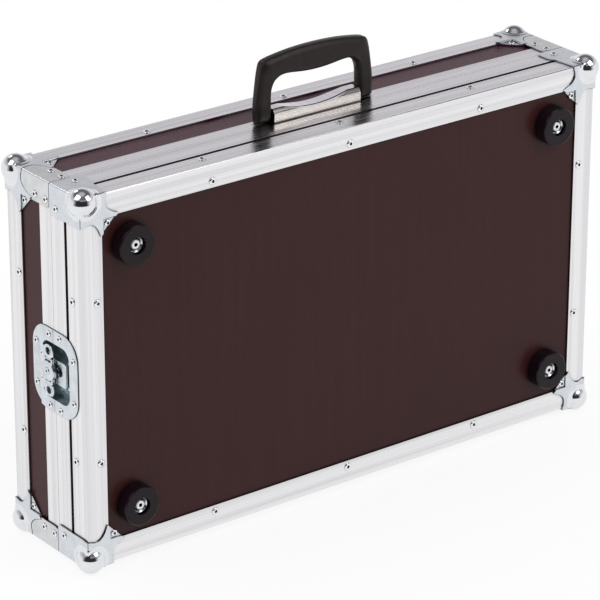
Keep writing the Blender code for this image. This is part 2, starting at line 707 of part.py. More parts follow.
def step_flange(item):
    """Bends a flange's outer part down onto the board beyond the closing profile."""
    start = PARTING_Y + FLANGE_STEP_START
    work = bmesh.new()
    work.from_mesh(item.data)
    for y in (start, start + FLANGE_STEP_RUN):
        bmesh.ops.bisect_plane(work, geom=work.verts[:] + work.edges[:] + work.faces[:],
                               plane_co=(0, y, 0), plane_no=(0, 1, 0))
    for vert in work.verts:
        share = min(max((vert.co.y - start) / FLANGE_STEP_RUN, 0), 1)
        vert.co.x += share * BOARD_FACE
    work.to_mesh(item.data)
    work.free()


def make_dish(tray):
    """One half of the latch dish: flange, tub and, on the lid, the tongue that guides the claw."""
    lid = tray == "lid"
    way = 1 if lid else -1
    window = WINDOW_LID_REACH if lid else WINDOW_BASE_REACH
    reach = FLANGE_LID_REACH if lid else FLANGE_BASE_REACH
    start = way * HALF_GAP
    flange = half_plate(way * reach, FLANGE_HALF_HEIGHT, FLANGE_RADIUS, start)
    dish = end_slab(f"latch_dish_{tray}_left", flange, FLANGE_OUT, FLANGE_IN)
    if lid:
        step_flange(dish)
    tub = half_plate(way * (window + LATCH_SHEET), WINDOW_HALF_HEIGHT + LATCH_SHEET,
                     WINDOW_RADIUS + LATCH_SHEET, start)
    unite(dish, end_slab("tub", tub, (FLANGE_OUT + FLANGE_IN) / 2, TUB_FLOOR + LATCH_SHEET))
    hollow = half_plate(way * window, WINDOW_HALF_HEIGHT, WINDOW_RADIUS, -way * OVERRUN)
    if lid:
        cut(dish, end_slab("hollow", hollow, FLANGE_IN, TUB_FLOOR))
        corner = (WINDOW_LID_REACH - WINDOW_RADIUS, WINDOW_HALF_HEIGHT - WINDOW_RADIUS)
        for flip in (-1, 1):
            lens = [(-OVERRUN, TONGUE_HALF_HEIGHT), (0, TONGUE_HALF_HEIGHT)]
            lens += arc(corner, WINDOW_RADIUS, 0, 90, ARC_STEPS)[TONGUE_ROOT_STEP:]
            lens += [(-OVERRUN, WINDOW_HALF_HEIGHT)]
            lens = [(d, flip * z) for d, z in lens]
            cut(dish, end_slab("lens", lens, FLANGE_OUT - OVERRUN, CLEARANCE))
        bore = end_point(0, ROTOR_OFFSET, 0)
        cut(dish, rod("bore", bore, 0, SHAFT_BORE_RADIUS, bore.x + FLANGE_OUT - OVERRUN, bore.x + CLEARANCE,
                      SHAFT_SEGMENTS))
    else:
        cut(dish, end_slab("hollow", hollow, FLANGE_OUT - OVERRUN, TUB_FLOOR))
        keeper = [(-KEEPER_FAR, -KEEPER_HALF_HEIGHT), (-KEEPER_NEAR, -KEEPER_HALF_HEIGHT)]
        keeper += [(-KEEPER_NEAR, KEEPER_HALF_HEIGHT), (-KEEPER_FAR, KEEPER_HALF_HEIGHT)]
        keeper_top = CLAW_DROP + CLAW_THICKNESS + CLEARANCE - FLANGE_IN
        unite(dish, end_slab("keeper", keeper, keeper_top, TUB_FLOOR + LATCH_SHEET / 2))
    return dish


def make_key():
    """The latch's rotor: post, shaft and the lugs that carry the wings."""
    axis = end_point(0, ROTOR_OFFSET, 0)
    key = rod("latch_key_left", axis, 0, POST_RADIUS, axis.x + POST_OUT, axis.x + POST_IN, ROUND_SEGMENTS)
    shaft = rod("shaft", axis, 0, SHAFT_RADIUS, axis.x + POST_IN - CLEARANCE, axis.x + TUB_FLOOR - CLEARANCE,
                SHAFT_SEGMENTS)
    lugs = []
    inner = WING_NECK_HALF_WIDTH + CLEARANCE
    for up in (-1, 1):
        for across in (-1, 1):
            low_d, high_d = sorted((across * inner, across * (inner + LUG_WIDTH)))
            low_z, high_z = sorted((up * POST_RADIUS / 2, up * LUG_REACH))
            outline = [(ROTOR_OFFSET + d, z) for d, z in
                       ((low_d, low_z), (high_d, low_z), (high_d, high_z), (low_d, high_z))]
            lugs.append(end_slab("lug", outline, POST_IN - LUG_HEIGHT, POST_IN))
    unite(key, shaft, *lugs)
    for up in (-1, 1):
        hole = end_point(POST_IN - WING_PIVOT_HEIGHT, ROTOR_OFFSET, up * WING_PIVOT)
        cut(key, rod("hole", hole, 1, WING_PIN_BORE_RADIUS, hole.y - POST_RADIUS, hole.y + POST_RADIUS,
                     WING_PIN_SEGMENTS))
    return key


def make_wing(label, up):
    """One folding wing: knuckle, neck and a flared plate with a thumb eye."""
    pivot = end_point(POST_IN - WING_PIVOT_HEIGHT, ROTOR_OFFSET, up * WING_PIVOT)
    half = LATCH_SHEET / 2
    neck = WING_NECK_HALF_WIDTH
    flare = swoop((neck, WING_NECK_LENGTH), (WING_HALF_WIDTH, WING_NECK_LENGTH),
                  (WING_HALF_WIDTH, WING_SHOULDER), 2)
    end = swoop((WING_HALF_WIDTH, WING_SHOULDER), (WING_HALF_WIDTH, WING_LENGTH), (0, WING_LENGTH), ARC_STEPS)
    side = [(neck, 0)] + flare + end[1:]
    outline = side + [(-y, z) for y, z in reversed(side[:-1])]
    rings = [[Vector((x, pivot.y + y, pivot.z + up * z)) for y, z in outline]
             for x in (pivot.x - half, pivot.x + half)]
    wing = loft(f"latch_wing_{label}_left", rings)
    knuckle = rod("knuckle", pivot, 1, WING_KNUCKLE_RADIUS, pivot.y - neck, pivot.y + neck, WING_PIN_SEGMENTS)
    reach = neck + CLEARANCE + LUG_WIDTH
    pin = rod("pin", pivot, 1, WING_PIN_RADIUS, pivot.y - reach, pivot.y + reach, WING_PIN_SEGMENTS)
    unite(wing, knuckle, pin)
    eye = Vector((pivot.x, pivot.y, pivot.z + up * WING_EYE_PLACE))
    cut(wing, rod("eye", eye, 0, WING_EYE_RADIUS, eye.x - OVERRUN, eye.x + OVERRUN, SHAFT_SEGMENTS))
    return wing


def make_claw():
    """The flat claw that the rotor drives over the keeper."""
    top = FLANGE_IN + CLAW_DROP
    outline = [(CLAW_TAIL, -CLAW_HALF_HEIGHT), (CLAW_TAIL, CLAW_HALF_HEIGHT)]
    outline += [(CLAW_CORNER - CLAW_REACH, CLAW_HALF_HEIGHT), (-CLAW_REACH, CLAW_HALF_HEIGHT - CLAW_CORNER)]
    outline += [(-CLAW_REACH, CLAW_CORNER - CLAW_HALF_HEIGHT), (CLAW_CORNER - CLAW_REACH, -CLAW_HALF_HEIGHT)]
    claw = end_slab("latch_claw_left", outline, top, top + CLAW_THICKNESS)
    radius = SHAFT_RADIUS + CLEARANCE
    slot = arc((ROTOR_OFFSET, 0), radius, 90, 270, SHAFT_SEGMENTS // 2)
    slot += arc((ROTOR_OFFSET + CLAW_TRAVEL, 0), radius, -90, 90, SHAFT_SEGMENTS // 2)
    cut(claw, end_slab("slot", slot, top - OVERRUN, top + CLAW_THICKNESS + OVERRUN))
    return claw


def make_latches():
    """The left latch, then its mirror copy on the right end."""
    pieces = [(make_dish("lid"), "zinc"), (make_dish("base"), "zinc"), (make_key(), "zinc")]
    pieces += [(make_wing("upper", 1), "zinc"), (make_wing("lower", -1), "zinc"), (make_claw(), "steel")]
    for piece, finish in pieces:
        twin = reflected(piece, piece.name.replace("_left", "_right"), 0, 0)
        material_for(piece, finish)
        material_for(twin, finish)


def carrier(name, place, parent):
    """An empty on a joint's axis that carries the pieces of one moving body."""
    empty = bpy.data.objects.new(name, None)
    empty.empty_display_size = BALL_RADIUS
    bpy.context.scene.collection.objects.link(empty)
    hang(empty, parent)
    start = Vector(parent["place"]) if parent else Vector((0, 0, 0))
    empty.location = Vector(place) - start
    empty["place"] = tuple(place)
    return empty


def hang(item, parent):
    """Parents an object, which stays where it is in its parent's own frame."""
    item.parent = parent


def carry(parent, pieces):
    """Hangs finished pieces on an empty and keeps each where it stands."""
    for piece in pieces:
        piece.parent = parent
        piece.location = piece.location - Vector(parent["place"])


def assemble():
    """Groups the pieces under one empty for each moving body."""
    shown = {item.name: item for item in bpy.data.objects if item.type == 'MESH'}
    base = carrier("base_body", (0, PARTING_Y, MID_Z), None)
    lid = carrier("lid_body", (0, PARTING_Y, MID_Z), base)
    handle = carrier("handle_body", (0, RAIL_Y, PIN_Z), lid)
    carry(handle, [shown.pop("handle_grip")])
    for end, way in (("left", 1), ("right", -1)):
        key_place = end_point(0, ROTOR_OFFSET, 0)
        key_place.x *= way
        key = carrier(f"key_{end}_body", key_place, lid)
        carry(key, [shown.pop(f"latch_key_{end}")])
        claw = carrier(f"claw_{end}_body", key_place, lid)
        carry(claw, [shown.pop(f"latch_claw_{end}")])
        for label, up in (("upper", 1), ("lower", -1)):
            pivot = end_point(POST_IN - WING_PIVOT_HEIGHT, ROTOR_OFFSET, up * WING_PIVOT)
            pivot.x *= way
            wing = carrier(f"wing_{label}_{end}_body", pivot, key)
            carry(wing, [shown.pop(f"latch_wing_{label}_{end}")])
    on_lid = [item for name, item in shown.items()
              if name.startswith("lid_") or "_lid_" in name or name.startswith("handle_")]
    carry(lid, on_lid)
    carry(base, [item for item in shown.values() if item not in on_lid])


def main():
    clear_scene()
    make_frames()
    make_boards()
    make_foam()
    make_feet()
    make_ball_corner("base")
    make_ball_corner("lid")
    make_braces()
    make_rail()
    make_grip()
    make_latches()
    assemble()


main()
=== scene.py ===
"""The looks of a keyboard flight case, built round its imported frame.

The profiles, the boards and the handle's pins keep their solids and get materials.
Every other piece is rebuilt here in finer form over its solid, with the feet's washers
and the foam's surface, and the rivets are added.
X runs along the case, Y from the feet towards the lid's back, Z up. Units are metres.
"""
import math

import bmesh
import bpy
from mathutils import Matrix, Vector, noise


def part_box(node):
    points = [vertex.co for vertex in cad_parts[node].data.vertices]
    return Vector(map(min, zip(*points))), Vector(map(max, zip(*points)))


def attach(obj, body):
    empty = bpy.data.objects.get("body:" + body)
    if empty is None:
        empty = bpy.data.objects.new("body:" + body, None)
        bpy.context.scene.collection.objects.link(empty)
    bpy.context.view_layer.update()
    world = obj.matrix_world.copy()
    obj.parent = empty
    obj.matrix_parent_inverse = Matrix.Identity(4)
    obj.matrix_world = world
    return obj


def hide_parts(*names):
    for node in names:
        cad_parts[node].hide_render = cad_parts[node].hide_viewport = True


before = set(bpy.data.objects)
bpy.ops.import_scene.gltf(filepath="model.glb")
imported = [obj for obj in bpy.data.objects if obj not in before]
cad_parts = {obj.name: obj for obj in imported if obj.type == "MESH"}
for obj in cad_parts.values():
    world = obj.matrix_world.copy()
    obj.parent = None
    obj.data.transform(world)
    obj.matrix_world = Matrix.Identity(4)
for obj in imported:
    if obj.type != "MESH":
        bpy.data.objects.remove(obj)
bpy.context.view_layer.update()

MM = 0.001
MERGE = 0.00002
TOUCH = 0.000001
FLAT_ANGLE = math.radians(1)
X, Y, Z = range(3)

# Camera and lamps
CAMERA_AT = Vector((-1.8075, -2.35666, 1.45786))
CAMERA_AIM = Vector((-0.01216, 0.0023, 0.17354))
CAMERA_LENS = 211.446
CAMERA_ROLL = 0.116
LAMP_AIM = Vector((0, 0, 0.2))

# Case, over the faces of the aluminium
HALF_X = 288.5 * MM
HALF_Z = 175 * MM
MID_Z = 182 * MM
TOP_Z = MID_Z + HALF_Z
FRONT_Y = -54.85 * MM
BACK_Y = 59.35 * MM
PARTING_Y = -9.35 * MM
BASE_DEPTH = PARTING_Y - FRONT_Y
LID_DEPTH = BACK_Y - PARTING_Y
HALF_GAP = 0.15 * MM
BOARD_FACE = 1.8 * MM

# Sheet of the corners, in depth from the aluminium
SHEET_OUT = -1.6 * MM
SHEET_IN = -0.3 * MM
SHEET = SHEET_IN - SHEET_OUT
FOLD_RADIUS = 1.6 * MM
SHEET_EDGE = 0.3 * MM
SEAM = 0.25 * MM
SLIT_END = 45 * MM
BEYOND = 45 * MM

# Plates and lobes of the corners
PLATE_REACH = 26 * MM
PLATE_WAIST = 20 * MM
LOBE_FAR = 41 * MM
BASE_LOBE_FAR = 38 * MM
LOBE_FOLD = 21.8 * MM
LOBE_RIM = 23.1 * MM
LOBE_RIM_RADIUS = 1.1 * MM
LOBE_IN = 1.5 * MM
END_PLATE_WIDTH = 26.8 * MM
TOP_PLATE_WIDTH = 31.6 * MM
SIDE_PLATE_NIP = 3 * MM
BRACE_WAIST = 22.2 * MM
BRACE_LIFT = 0.7 * MM

# Pressed balls
BALL_RADIUS = 13 * MM
BALL_INSET = 6 * MM
BALL_REACH = 19 * MM
BALL_FILLET = 1.2 * MM
BALL_SINK = 0.06 * MM
COLLAR_RISE = 0.6 * MM
COLLAR_NEAR = 15.2 * MM
COLLAR_FAR = 16.8 * MM

# Rivets
RIVET_RADIUS = 3.6 * MM
RIVET_HEIGHT = 1.15 * MM
RIVET_INSET = 15.5 * MM
RIVET_X = 151 * MM
RIVET_Z = 76 * MM

# Feet
FOOT_X = 237.6 * MM
FOOT_Z = 124.1 * MM
FOOT_SUNK = 1.5 * MM

# Handle
PIN_Z = TOP_Z + 6.8 * MM
PIN_BORE = 2.9 * MM
RAIL_FOOT = TOP_Z + 0.3 * MM
RAIL_CREST = TOP_Z + 12.8 * MM
RAIL_HALF_WIDTH = 7.75 * MM
RAIL_HALF_LENGTH = 48.5 * MM
SCOOP_FLOOR = RAIL_FOOT + 7.4 * MM
GROOVE = (-5.3 * MM, -3.6 * MM)

# Latch, in depth from the end face, across from the parting line and up from the middle
FLANGE_OUT = -1.5 * MM
FLANGE_IN = -0.3 * MM
DISH_HALF_HEIGHT = 39.4 * MM
DISH_RADIUS = 22 * MM
WINDOW_HALF_HEIGHT = 26.8 * MM
WINDOW_RADIUS = 10 * MM
# Each dish half's way from the parting line, its flange's reach and its window's
DISH_HALVES = {"lid": (1, 35.3 * MM, 17.5 * MM), "base": (-1, 36.2 * MM, 24.3 * MM)}
DISH_EDGE = 0.25 * MM
TUB_WALL = 1.2 * MM
TUB_FLOOR = 7.4 * MM
STEP_START = 20.8 * MM
STEP_RUN = 1.8 * MM
ROTOR_OFFSET = 5 * MM
LUG_OUT = -4.2 * MM
WING_DEPTH = -3 * MM
WING_PIVOT = 10.9 * MM

# Foam
FOAM_WALL = 30 * MM
FOAM_FLOOR = 12 * MM
FOAM_BACK = 10.9 * MM
FOAM_CELL = 24 * MM
FOAM_SAG = 0.8 * MM

# Each corner's name, with its signs along X and Z
CORNERS = [(f"{row}_{end}", way, up) for row, up in (("top", 1), ("bottom", -1))
           for end, way in (("left", -1), ("right", 1))]
# Each tray's outer face, and the way in from it along Y
TRAYS = {"base": (FRONT_Y, 1), "lid": (BACK_Y, -1)}


def add_node(tree, kind, inputs=None, **settings):
    """A shader node with its settings, its input values and its incoming links."""
    made = tree.nodes.new(f"ShaderNode{kind}")
    for key, value in settings.items():
        setattr(made, key, value)
    for key, value in (inputs or {}).items():
        if isinstance(value, bpy.types.NodeSocket):
            tree.links.new(value, made.inputs[key])
        else:
            made.inputs[key].default_value = value
    return made


def math_node(tree, operation, *values):
    """A sum on numbers, each a socket or a plain value."""
    return add_node(tree, 'Math', dict(enumerate(values)), operation=operation).outputs[0]


def vector_node(tree, operation, *values, output="Vector"):
    """A sum on vectors, each a socket or a plain value."""
    made = add_node(tree, 'VectorMath', dict(enumerate(values)), operation=operation)
    return made.outputs[output]


def own_place(tree, output="Object"):
    """A texture coordinate: a point's place in the object's own frame, or another one."""
    return add_node(tree, 'TexCoord').outputs[output]


def grain(tree, stretch, detail=2.0, distortion=0.0):
    """Noise over the object's own coordinates, stretched by a factor along each axis."""
    place = vector_node(tree, 'MULTIPLY', own_place(tree), stretch)
    inputs = {"Vector": place, "Scale": 1.0, "Detail": detail, "Distortion": distortion}
    return add_node(tree, 'TexNoise', inputs).outputs[0]


def even(value):
    """Three equal values: a grey, or a vector that treats every axis alike."""
    return (value, value, value)


def drawn(along, run, across):
    """The stretch of a grain that is drawn out along one axis."""
    return tuple(run if axis == along else across for axis in (X, Y, Z))


def spread(tree, value, low=0, high=1, start=0.3, end=0.7):
    """Maps a value from one range to another, clamped."""
    inputs = {"Value": value, "From Min": start, "From Max": end, "To Min": low, "To Max": high}
    return add_node(tree, 'MapRange', inputs).outputs[0]


def between(tree, factor, first, second):
    """A colour between two others, each a socket or a plain colour."""
    pair = [c if isinstance(c, bpy.types.NodeSocket) else (*c, 1.0) for c in (first, second)]
    colour_a, colour_b, colour_result = 6, 7, 2
    inputs = {0: factor, colour_a: pair[0], colour_b: pair[1]}
    return add_node(tree, 'Mix', inputs, data_type='RGBA').outputs[colour_result]


def bump(tree, height, distance, normal=None):
    """A normal bumped by a height in metres."""
    inputs = {"Height": height, "Distance": distance}
    if normal:
        inputs["Normal"] = normal
    return add_node(tree, 'Bump', inputs).outputs[0]


def painted_crease_shade(tree, colour, reach, dark=0.1, start=0.35, end=0.9):
    """A colour darkened by ambient occlusion in creases and narrow gaps, as painted shade."""
    light = add_node(tree, 'AmbientOcclusion', {"Distance": reach}, samples=8).outputs["AO"]
    return vector_node(tree, 'MULTIPLY', colour, spread(tree, light, dark, 1, start, end))


def levelled(tree, share):
    """The surface's normal, turned by a share towards the axis that it lies nearest to."""
    own = own_place(tree, "Normal")
    raised = vector_node(tree, 'ADD', own, even(0.5))
    nearest = vector_node(tree, 'SNAP', raised, even(1))
    mixed = vector_node(tree, 'MULTIPLY_ADD', nearest, even(share / (1 - share)), own)
    return add_node(tree, 'VectorTransform', {0: mixed}, vector_type='NORMAL',
                    convert_from='OBJECT', convert_to='WORLD').outputs[0]


def new_finish(name):
    """A new material and its node tree."""
    made = bpy.data.materials.new(name)
    made.use_nodes = True
    return made, made.node_tree


def finished(made, colour, roughness, normal, **plain):
    """Links a Principled material's sockets and sets its plain values."""
    tree = made.node_tree
    inputs = tree.nodes["Principled BSDF"].inputs
    for key, value in (("Base Color", colour), ("Roughness", roughness), ("Normal", normal)):
        tree.links.new(value, inputs[key])
    for key, value in plain.items():
        inputs[key.replace("_", " ")].default_value = value
    return made


def extruded(name, along, low, high, smooth=0.16, dull=0.3):
    """Mill-finish aluminium with fine drawing lines and wide pale stripes along one axis."""
    made, tree = new_finish(name)
    fine = spread(tree, grain(tree, drawn(along, 2, 900), 3), start=0.25, end=0.75)
    wide = spread(tree, grain(tree, drawn(along, 1.2, 210), 3), start=0.38, end=0.58)
    lines = between(tree, fine, low, high)
    stripes = between(tree, wide, tuple(c * 0.89 for c in low), high)
    # Painted shade: the aluminium's colour darkens in grooves and in the gaps between profiles.
    colour = painted_crease_shade(tree, between(tree, 0.55, lines, stripes), reach=4 * MM, dark=0.02, start=0.42)
    roughness = spread(tree, grain(tree, drawn(along, 4, 420)), smooth, dull)
    normal = bump(tree, grain(tree, drawn(along, 1.5, 260)), 0.000035, levelled(tree, 0.72))
    return finished(made, colour, roughness, normal, Metallic=1.0)


def plated(name, low, high, smooth, dull, waves=0.000012, metallic=1.0, crease_shade=0.1):
    """Bright zinc plate: pale blue-grey, slightly cloudy."""
    made, tree = new_finish(name)
    cloudy = between(tree, spread(tree, grain(tree, even(90), 3)), low, high)
    # Painted shade: the zinc's colour darkens in creases, pockets and seams.
    colour = painted_crease_shade(tree, cloudy, reach=2.2 * MM, dark=crease_shade)
    roughness = spread(tree, grain(tree, even(140), 3), smooth, dull)
    normal = bump(tree, grain(tree, even(90), 1), waves)
    return finished(made, colour, roughness, normal, Metallic=metallic)


def phenolic(name, along, low, high):
    """Brown film-faced plywood: faint grain under a satin film."""
    made, tree = new_finish(name)
    veins = spread(tree, grain(tree, drawn(along, 6, 260), 4, 0.6), start=0.35)
    clouds = spread(tree, grain(tree, even(9), 3), 0, 0.5)
    film = between(tree, clouds, between(tree, veins, low, high), tuple(c * 0.9 for c in low))
    # Painted shade: the plywood darkens in gaps and in a wide halo round the feet, which also stands in for
    # their reflection in the film.
    colour = painted_crease_shade(tree, film, reach=7 * MM, dark=0.05)
    roughness = spread(tree, grain(tree, even(300), 3), 0.26, 0.34)
    fibre = bump(tree, grain(tree, drawn(along, 20, 700), 3), 0.000008)
    normal = bump(tree, grain(tree, even(900), 1), 0.000004, fibre)
    return finished(made, colour, roughness, normal, Specular_IOR_Level=0.17)


def moulded(name, low, high, smooth, dull, pitch, depth, gloss):
    """Dark rubber or plastic with a fine moulded grain."""
    made, tree = new_finish(name)
    colour = between(tree, spread(tree, grain(tree, even(120), 3)), low, high)
    roughness = spread(tree, grain(tree, even(220)), smooth, dull)
    normal = bump(tree, grain(tree, even(pitch)), depth)
    return finished(made, colour, roughness, normal, Specular_IOR_Level=gloss)


def foamed(name, low, high):
    """Open-cell foam: dark cells over a charcoal ground."""
    made, tree = new_finish(name)
    cells = add_node(tree, 'TexVoronoi', {"Vector": own_place(tree), "Scale": 420}).outputs["Distance"]
    colour = between(tree, spread(tree, cells, start=0.1, end=0.6), low, high)
    roughness = spread(tree, cells, 0.85, 1.0, start=0, end=1)
    return finished(made, colour, roughness, bump(tree, cells, 0.0006))


ALUMINIUM = [extruded(f"aluminium_{'xyz'[axis]}", axis, (0.745, 0.735, 0.75), (0.875, 0.87, 0.88))
             for axis in (X, Y, Z)]
RAIL_METAL = extruded("aluminium_rail", X, (0.5, 0.47, 0.43), (0.68, 0.64, 0.595),
                      smooth=0.08, dull=0.18)
# Painted reflection: a paler lilac copy of the rail's metal for its upward faces.
CREST_SHEEN_METAL = extruded("aluminium_crest_painted_sheen", Y, (0.76, 0.73, 0.77), (0.86, 0.84, 0.88),
                       smooth=0.14, dull=0.22)
ZINC = plated("zinc_plate", (0.64, 0.675, 0.715), (0.73, 0.765, 0.8), smooth=0.22, dull=0.3)
BRACE_ZINC = plated("zinc_brace", (0.61, 0.63, 0.635), (0.73, 0.745, 0.745), smooth=0.22, dull=0.3)
BALL_ZINC = plated("zinc_ball", (0.76, 0.77, 0.79), (0.81, 0.82, 0.84),
                   smooth=0.07, dull=0.11, waves=0.000008)
LATCH_ZINC = plated("zinc_latch_plate", (0.6, 0.64, 0.69), (0.73, 0.77, 0.81), smooth=0.18, dull=0.28)
# Painted shade: a dark teal copy of the latch's zinc for the depths of its tub.
SHADED_ZINC = plated("zinc_shadowed", (0.05, 0.13, 0.155), (0.42, 0.52, 0.54),
                   smooth=0.1, dull=0.2, waves=0.0006, metallic=0.62, crease_shade=0.75)
INNER_ZINC = plated("zinc_inner", (0.56, 0.6, 0.64), (0.74, 0.77, 0.8),
                    smooth=0.2, dull=0.3, waves=0.00002, crease_shade=0.45)
RIM_ZINC = plated("zinc_rim", (0.66, 0.69, 0.73), (0.76, 0.78, 0.82),
                  smooth=0.35, dull=0.45, waves=0.000008, metallic=0.3)
RIVET_STEEL = plated("rivet_steel", (0.86, 0.86, 0.87), (0.93, 0.93, 0.94),
                     smooth=0.12, dull=0.2, waves=0.000008)
WASHER_STEEL = plated("washer_steel", (0.9, 0.9, 0.91), (0.97, 0.97, 0.98),
                      smooth=0.4, dull=0.5, waves=0.000008, metallic=0.4)
# Painted shade: near-black for the insides of rivet holes and of the rail's groove.
HOLLOW_SHADE = moulded("hollow_shade", even(0.003), even(0.006),
                     smooth=0.6, dull=0.8, pitch=800, depth=0.00001, gloss=0.05)
# The top and bottom boards' lilac tint is a painted reflection of the pale room in their satin film.
PHENOLIC = {"panel": phenolic("phenolic_panel", Z, (0.0335, 0.0085, 0.0085), (0.0375, 0.01, 0.0098)),
            "wall_x_painted_sheen": phenolic("phenolic_wall_x", X, (0.04, 0.0075, 0.016), (0.045, 0.0095, 0.0195)),
            "wall_z": phenolic("phenolic_wall_z", Z, (0.041, 0.007, 0.009), (0.046, 0.009, 0.0105))}
RUBBER = moulded("rubber_moulded", (0.006, 0.0028, 0.0046), (0.0094, 0.0046, 0.007),
                 smooth=0.18, dull=0.26, pitch=500, depth=0.000006, gloss=0.2)
GRIP_PLASTIC = moulded("grip_moulded", (0.0115, 0.0078, 0.007), (0.0175, 0.0125, 0.0112),
                       smooth=0.32, dull=0.42, pitch=1100, depth=0.00004, gloss=0.22)
FOAM = foamed("foam_cut", (0.02, 0.02, 0.022), (0.045, 0.045, 0.048))


def placed(name, data):
    """An object with its data, linked to the scene."""
    made = bpy.data.objects.new(name, data)
    bpy.context.scene.collection.objects.link(made)
    return made


def drop(item):
    """Removes a piece from the scene."""
    bpy.data.objects.remove(item, do_unlink=True)


def opened(item):
    """A copy of a piece's mesh, for editing."""
    work = bmesh.new()
    work.from_mesh(item.data)
    return work


def closed(item, work):
    """Writes an edited mesh back to its piece."""
    work.to_mesh(item.data)
    work.free()


def item_from(name, work):
    """A scene object from an edited mesh, with its faces pointing out."""
    if work.calc_volume(signed=True) < 0:
        bmesh.ops.reverse_faces(work, faces=work.faces)
    item = placed(name, bpy.data.meshes.new(name))
    closed(item, work)
    return item


def band(work, near, far, slot=0):
    """Adds the faces between two loops of points. A loop of one point makes them triangles."""
    for index in range(max(len(near), len(far))):
        corners = [near[index % len(near)], near[(index + 1) % len(near)],
                   far[(index + 1) % len(far)], far[index % len(far)]]
        work.faces.new(list(dict.fromkeys(corners))).material_index = slot


def loft(work, rings):
    """Adds a closed skin through rings of equal point count, capped at both ends."""
    loops = [[work.verts.new(point) for point in ring] for ring in rings]
    for near, far in zip(loops, loops[1:]):
        band(work, near, far)
    work.faces.new(loops[0][::-1])
    work.faces.new(loops[-1])


def circle(radius, count, phase=0.0):
    """Points round a circle, the first turned by a phase given in steps."""
    turns = [2 * math.pi * (index + phase) / count for index in range(count)]
    return [(radius * math.cos(turn), radius * math.sin(turn)) for turn in turns]


def lathe(work, profile, place, segments):
    """Adds a turned piece. profile is (radius, height, slot) from pole to pole, and each slot
    belongs to the band that ends there. place is the matrix of the axis."""
    loops = []
    for radius, height, _ in profile:
        ring = circle(radius, segments) if radius else [(0, 0)]
        loops.append([work.verts.new(place @ Vector((u, v, height))) for u, v in ring])
    for near, far, (_, _, slot) in zip(loops, loops[1:], profile[1:]):
        band(work, near, far, slot)


def facing(place, way, axis='Z'):
    """The matrix of a frame at a place, with one of its axes along a direction."""
    return Matrix.Translation(place) @ Vector(way).to_track_quat(axis, 'Y').to_matrix().to_4x4()


def prism(name, outline, normal, low, high):
    """A closed slab square to an axis; outline runs along the other two axes in turn."""
    work = bmesh.new()
    loft(work, [[(*point[:normal], depth, *point[normal:]) for point in outline] for depth in (low, high)])
    return item_from(name, work)


def rod(name, centre, axis, radius, start, end, segments=48):
    """A round bar along an axis, from start to end on it."""
    first, second = (centre[other] for other in (X, Y, Z) if other != axis)
    outline = [(first + u, second + v) for u, v in circle(radius, segments, 0.5)]
    return prism(name, outline, axis, start, end)


def rectangle(left, right, bottom, top):
    """The outline of a rectangle."""
    return [(left, bottom), (right, bottom), (right, top), (left, top)]


def arc(centre, radius, start, end, steps):
    """Points of an arc between two angles in degrees, both ends included."""
    turns = [math.radians(start + (end - start) * index / steps) for index in range(steps + 1)]
    return [(centre[0] + radius * math.cos(turn), centre[1] + radius * math.sin(turn)) for turn in turns]


def swoop(start, bend, end, steps):
    """Points of a quadratic curve from start to end, drawn towards bend."""
    points = []
    for index in range(steps + 1):
        t = index / steps
        weights = ((1 - t) ** 2, 2 * t * (1 - t), t ** 2)
        points.append(tuple(sum(w * p[k] for w, p in zip(weights, (start, bend, end))) for k in range(2)))
    return points


def millimetres(points):
    """Points given in millimetres, in metres."""
    return [tuple(c * MM for c in point) for point in points]


def turned(points, slot=0):
    """Points of a turned profile, given in millimetres, with the slot of their bands."""
    return [(*point, slot) for point in millimetres(points)]


def eased(share):
    """A share clamped to 0 and 1, and eased at both."""
    share = min(max(share, 0), 1)
    return share * share * (3 - 2 * share)


def settle(item):
    """Replaces a mesh by its evaluated one, modifiers included."""
    graph = bpy.context.evaluated_depsgraph_get()
    mesh = bpy.data.meshes.new_from_object(item.evaluated_get(graph))
    item.modifiers.clear()
    item.data = mesh


def combine(item, others, operation):
    """A Boolean of a piece with others, which it removes."""
    for other in others:
        step = item.modifiers.new(other.name, 'BOOLEAN')
        step.operation = operation
        step.solver = 'EXACT'
        step.object = other
    settle(item)
    for other in others:
        drop(other)
    return item


def cut(item, *others):
    """Cuts other pieces from a piece."""
    return combine(item, others, 'DIFFERENCE')


def fuse(item, *others):
    """Joins other pieces to a piece."""
    return combine(item, others, 'UNION')


def merge_flats(work):
    """Merges the flat faces of an opened mesh."""
    bmesh.ops.dissolve_limit(work, angle_limit=FLAT_ANGLE, verts=work.verts, edges=work.edges)


def split_faces(work):
    """Splits the many-sided faces of an opened mesh into triangles."""
    bmesh.ops.triangulate(work, faces=[face for face in work.faces if len(face.verts) > 4])


def soften(item, width, angle=40, segments=2):
    """Rounds a piece's edges that turn by more than an angle."""
    work = opened(item)
    bmesh.ops.remove_doubles(work, verts=work.verts, dist=MERGE)
    merge_flats(work)
    closed(item, work)
    step = item.modifiers.new("soften", 'BEVEL')
    step.width = width
    step.segments = segments
    step.limit_method = 'ANGLE'
    step.angle_limit = math.radians(angle)
    settle(item)
    return item


def round_edges(item, chosen, radius, segments, merged=False):
    """Rounds those of a piece's edges that a test picks. merged merges its flat faces first."""
    work = opened(item)
    if merged:
        merge_flats(work)
    bmesh.ops.bevel(work, geom=[edge for edge in work.edges if chosen(edge)], offset=radius,
                    segments=segments, profile=0.5, affect='EDGES')
    closed(item, work)


def lies_at(edge, axis, place):
    """Whether an edge lies at a place along an axis."""
    return all(abs(vert.co[axis] - place) < TOUCH for vert in edge.verts)


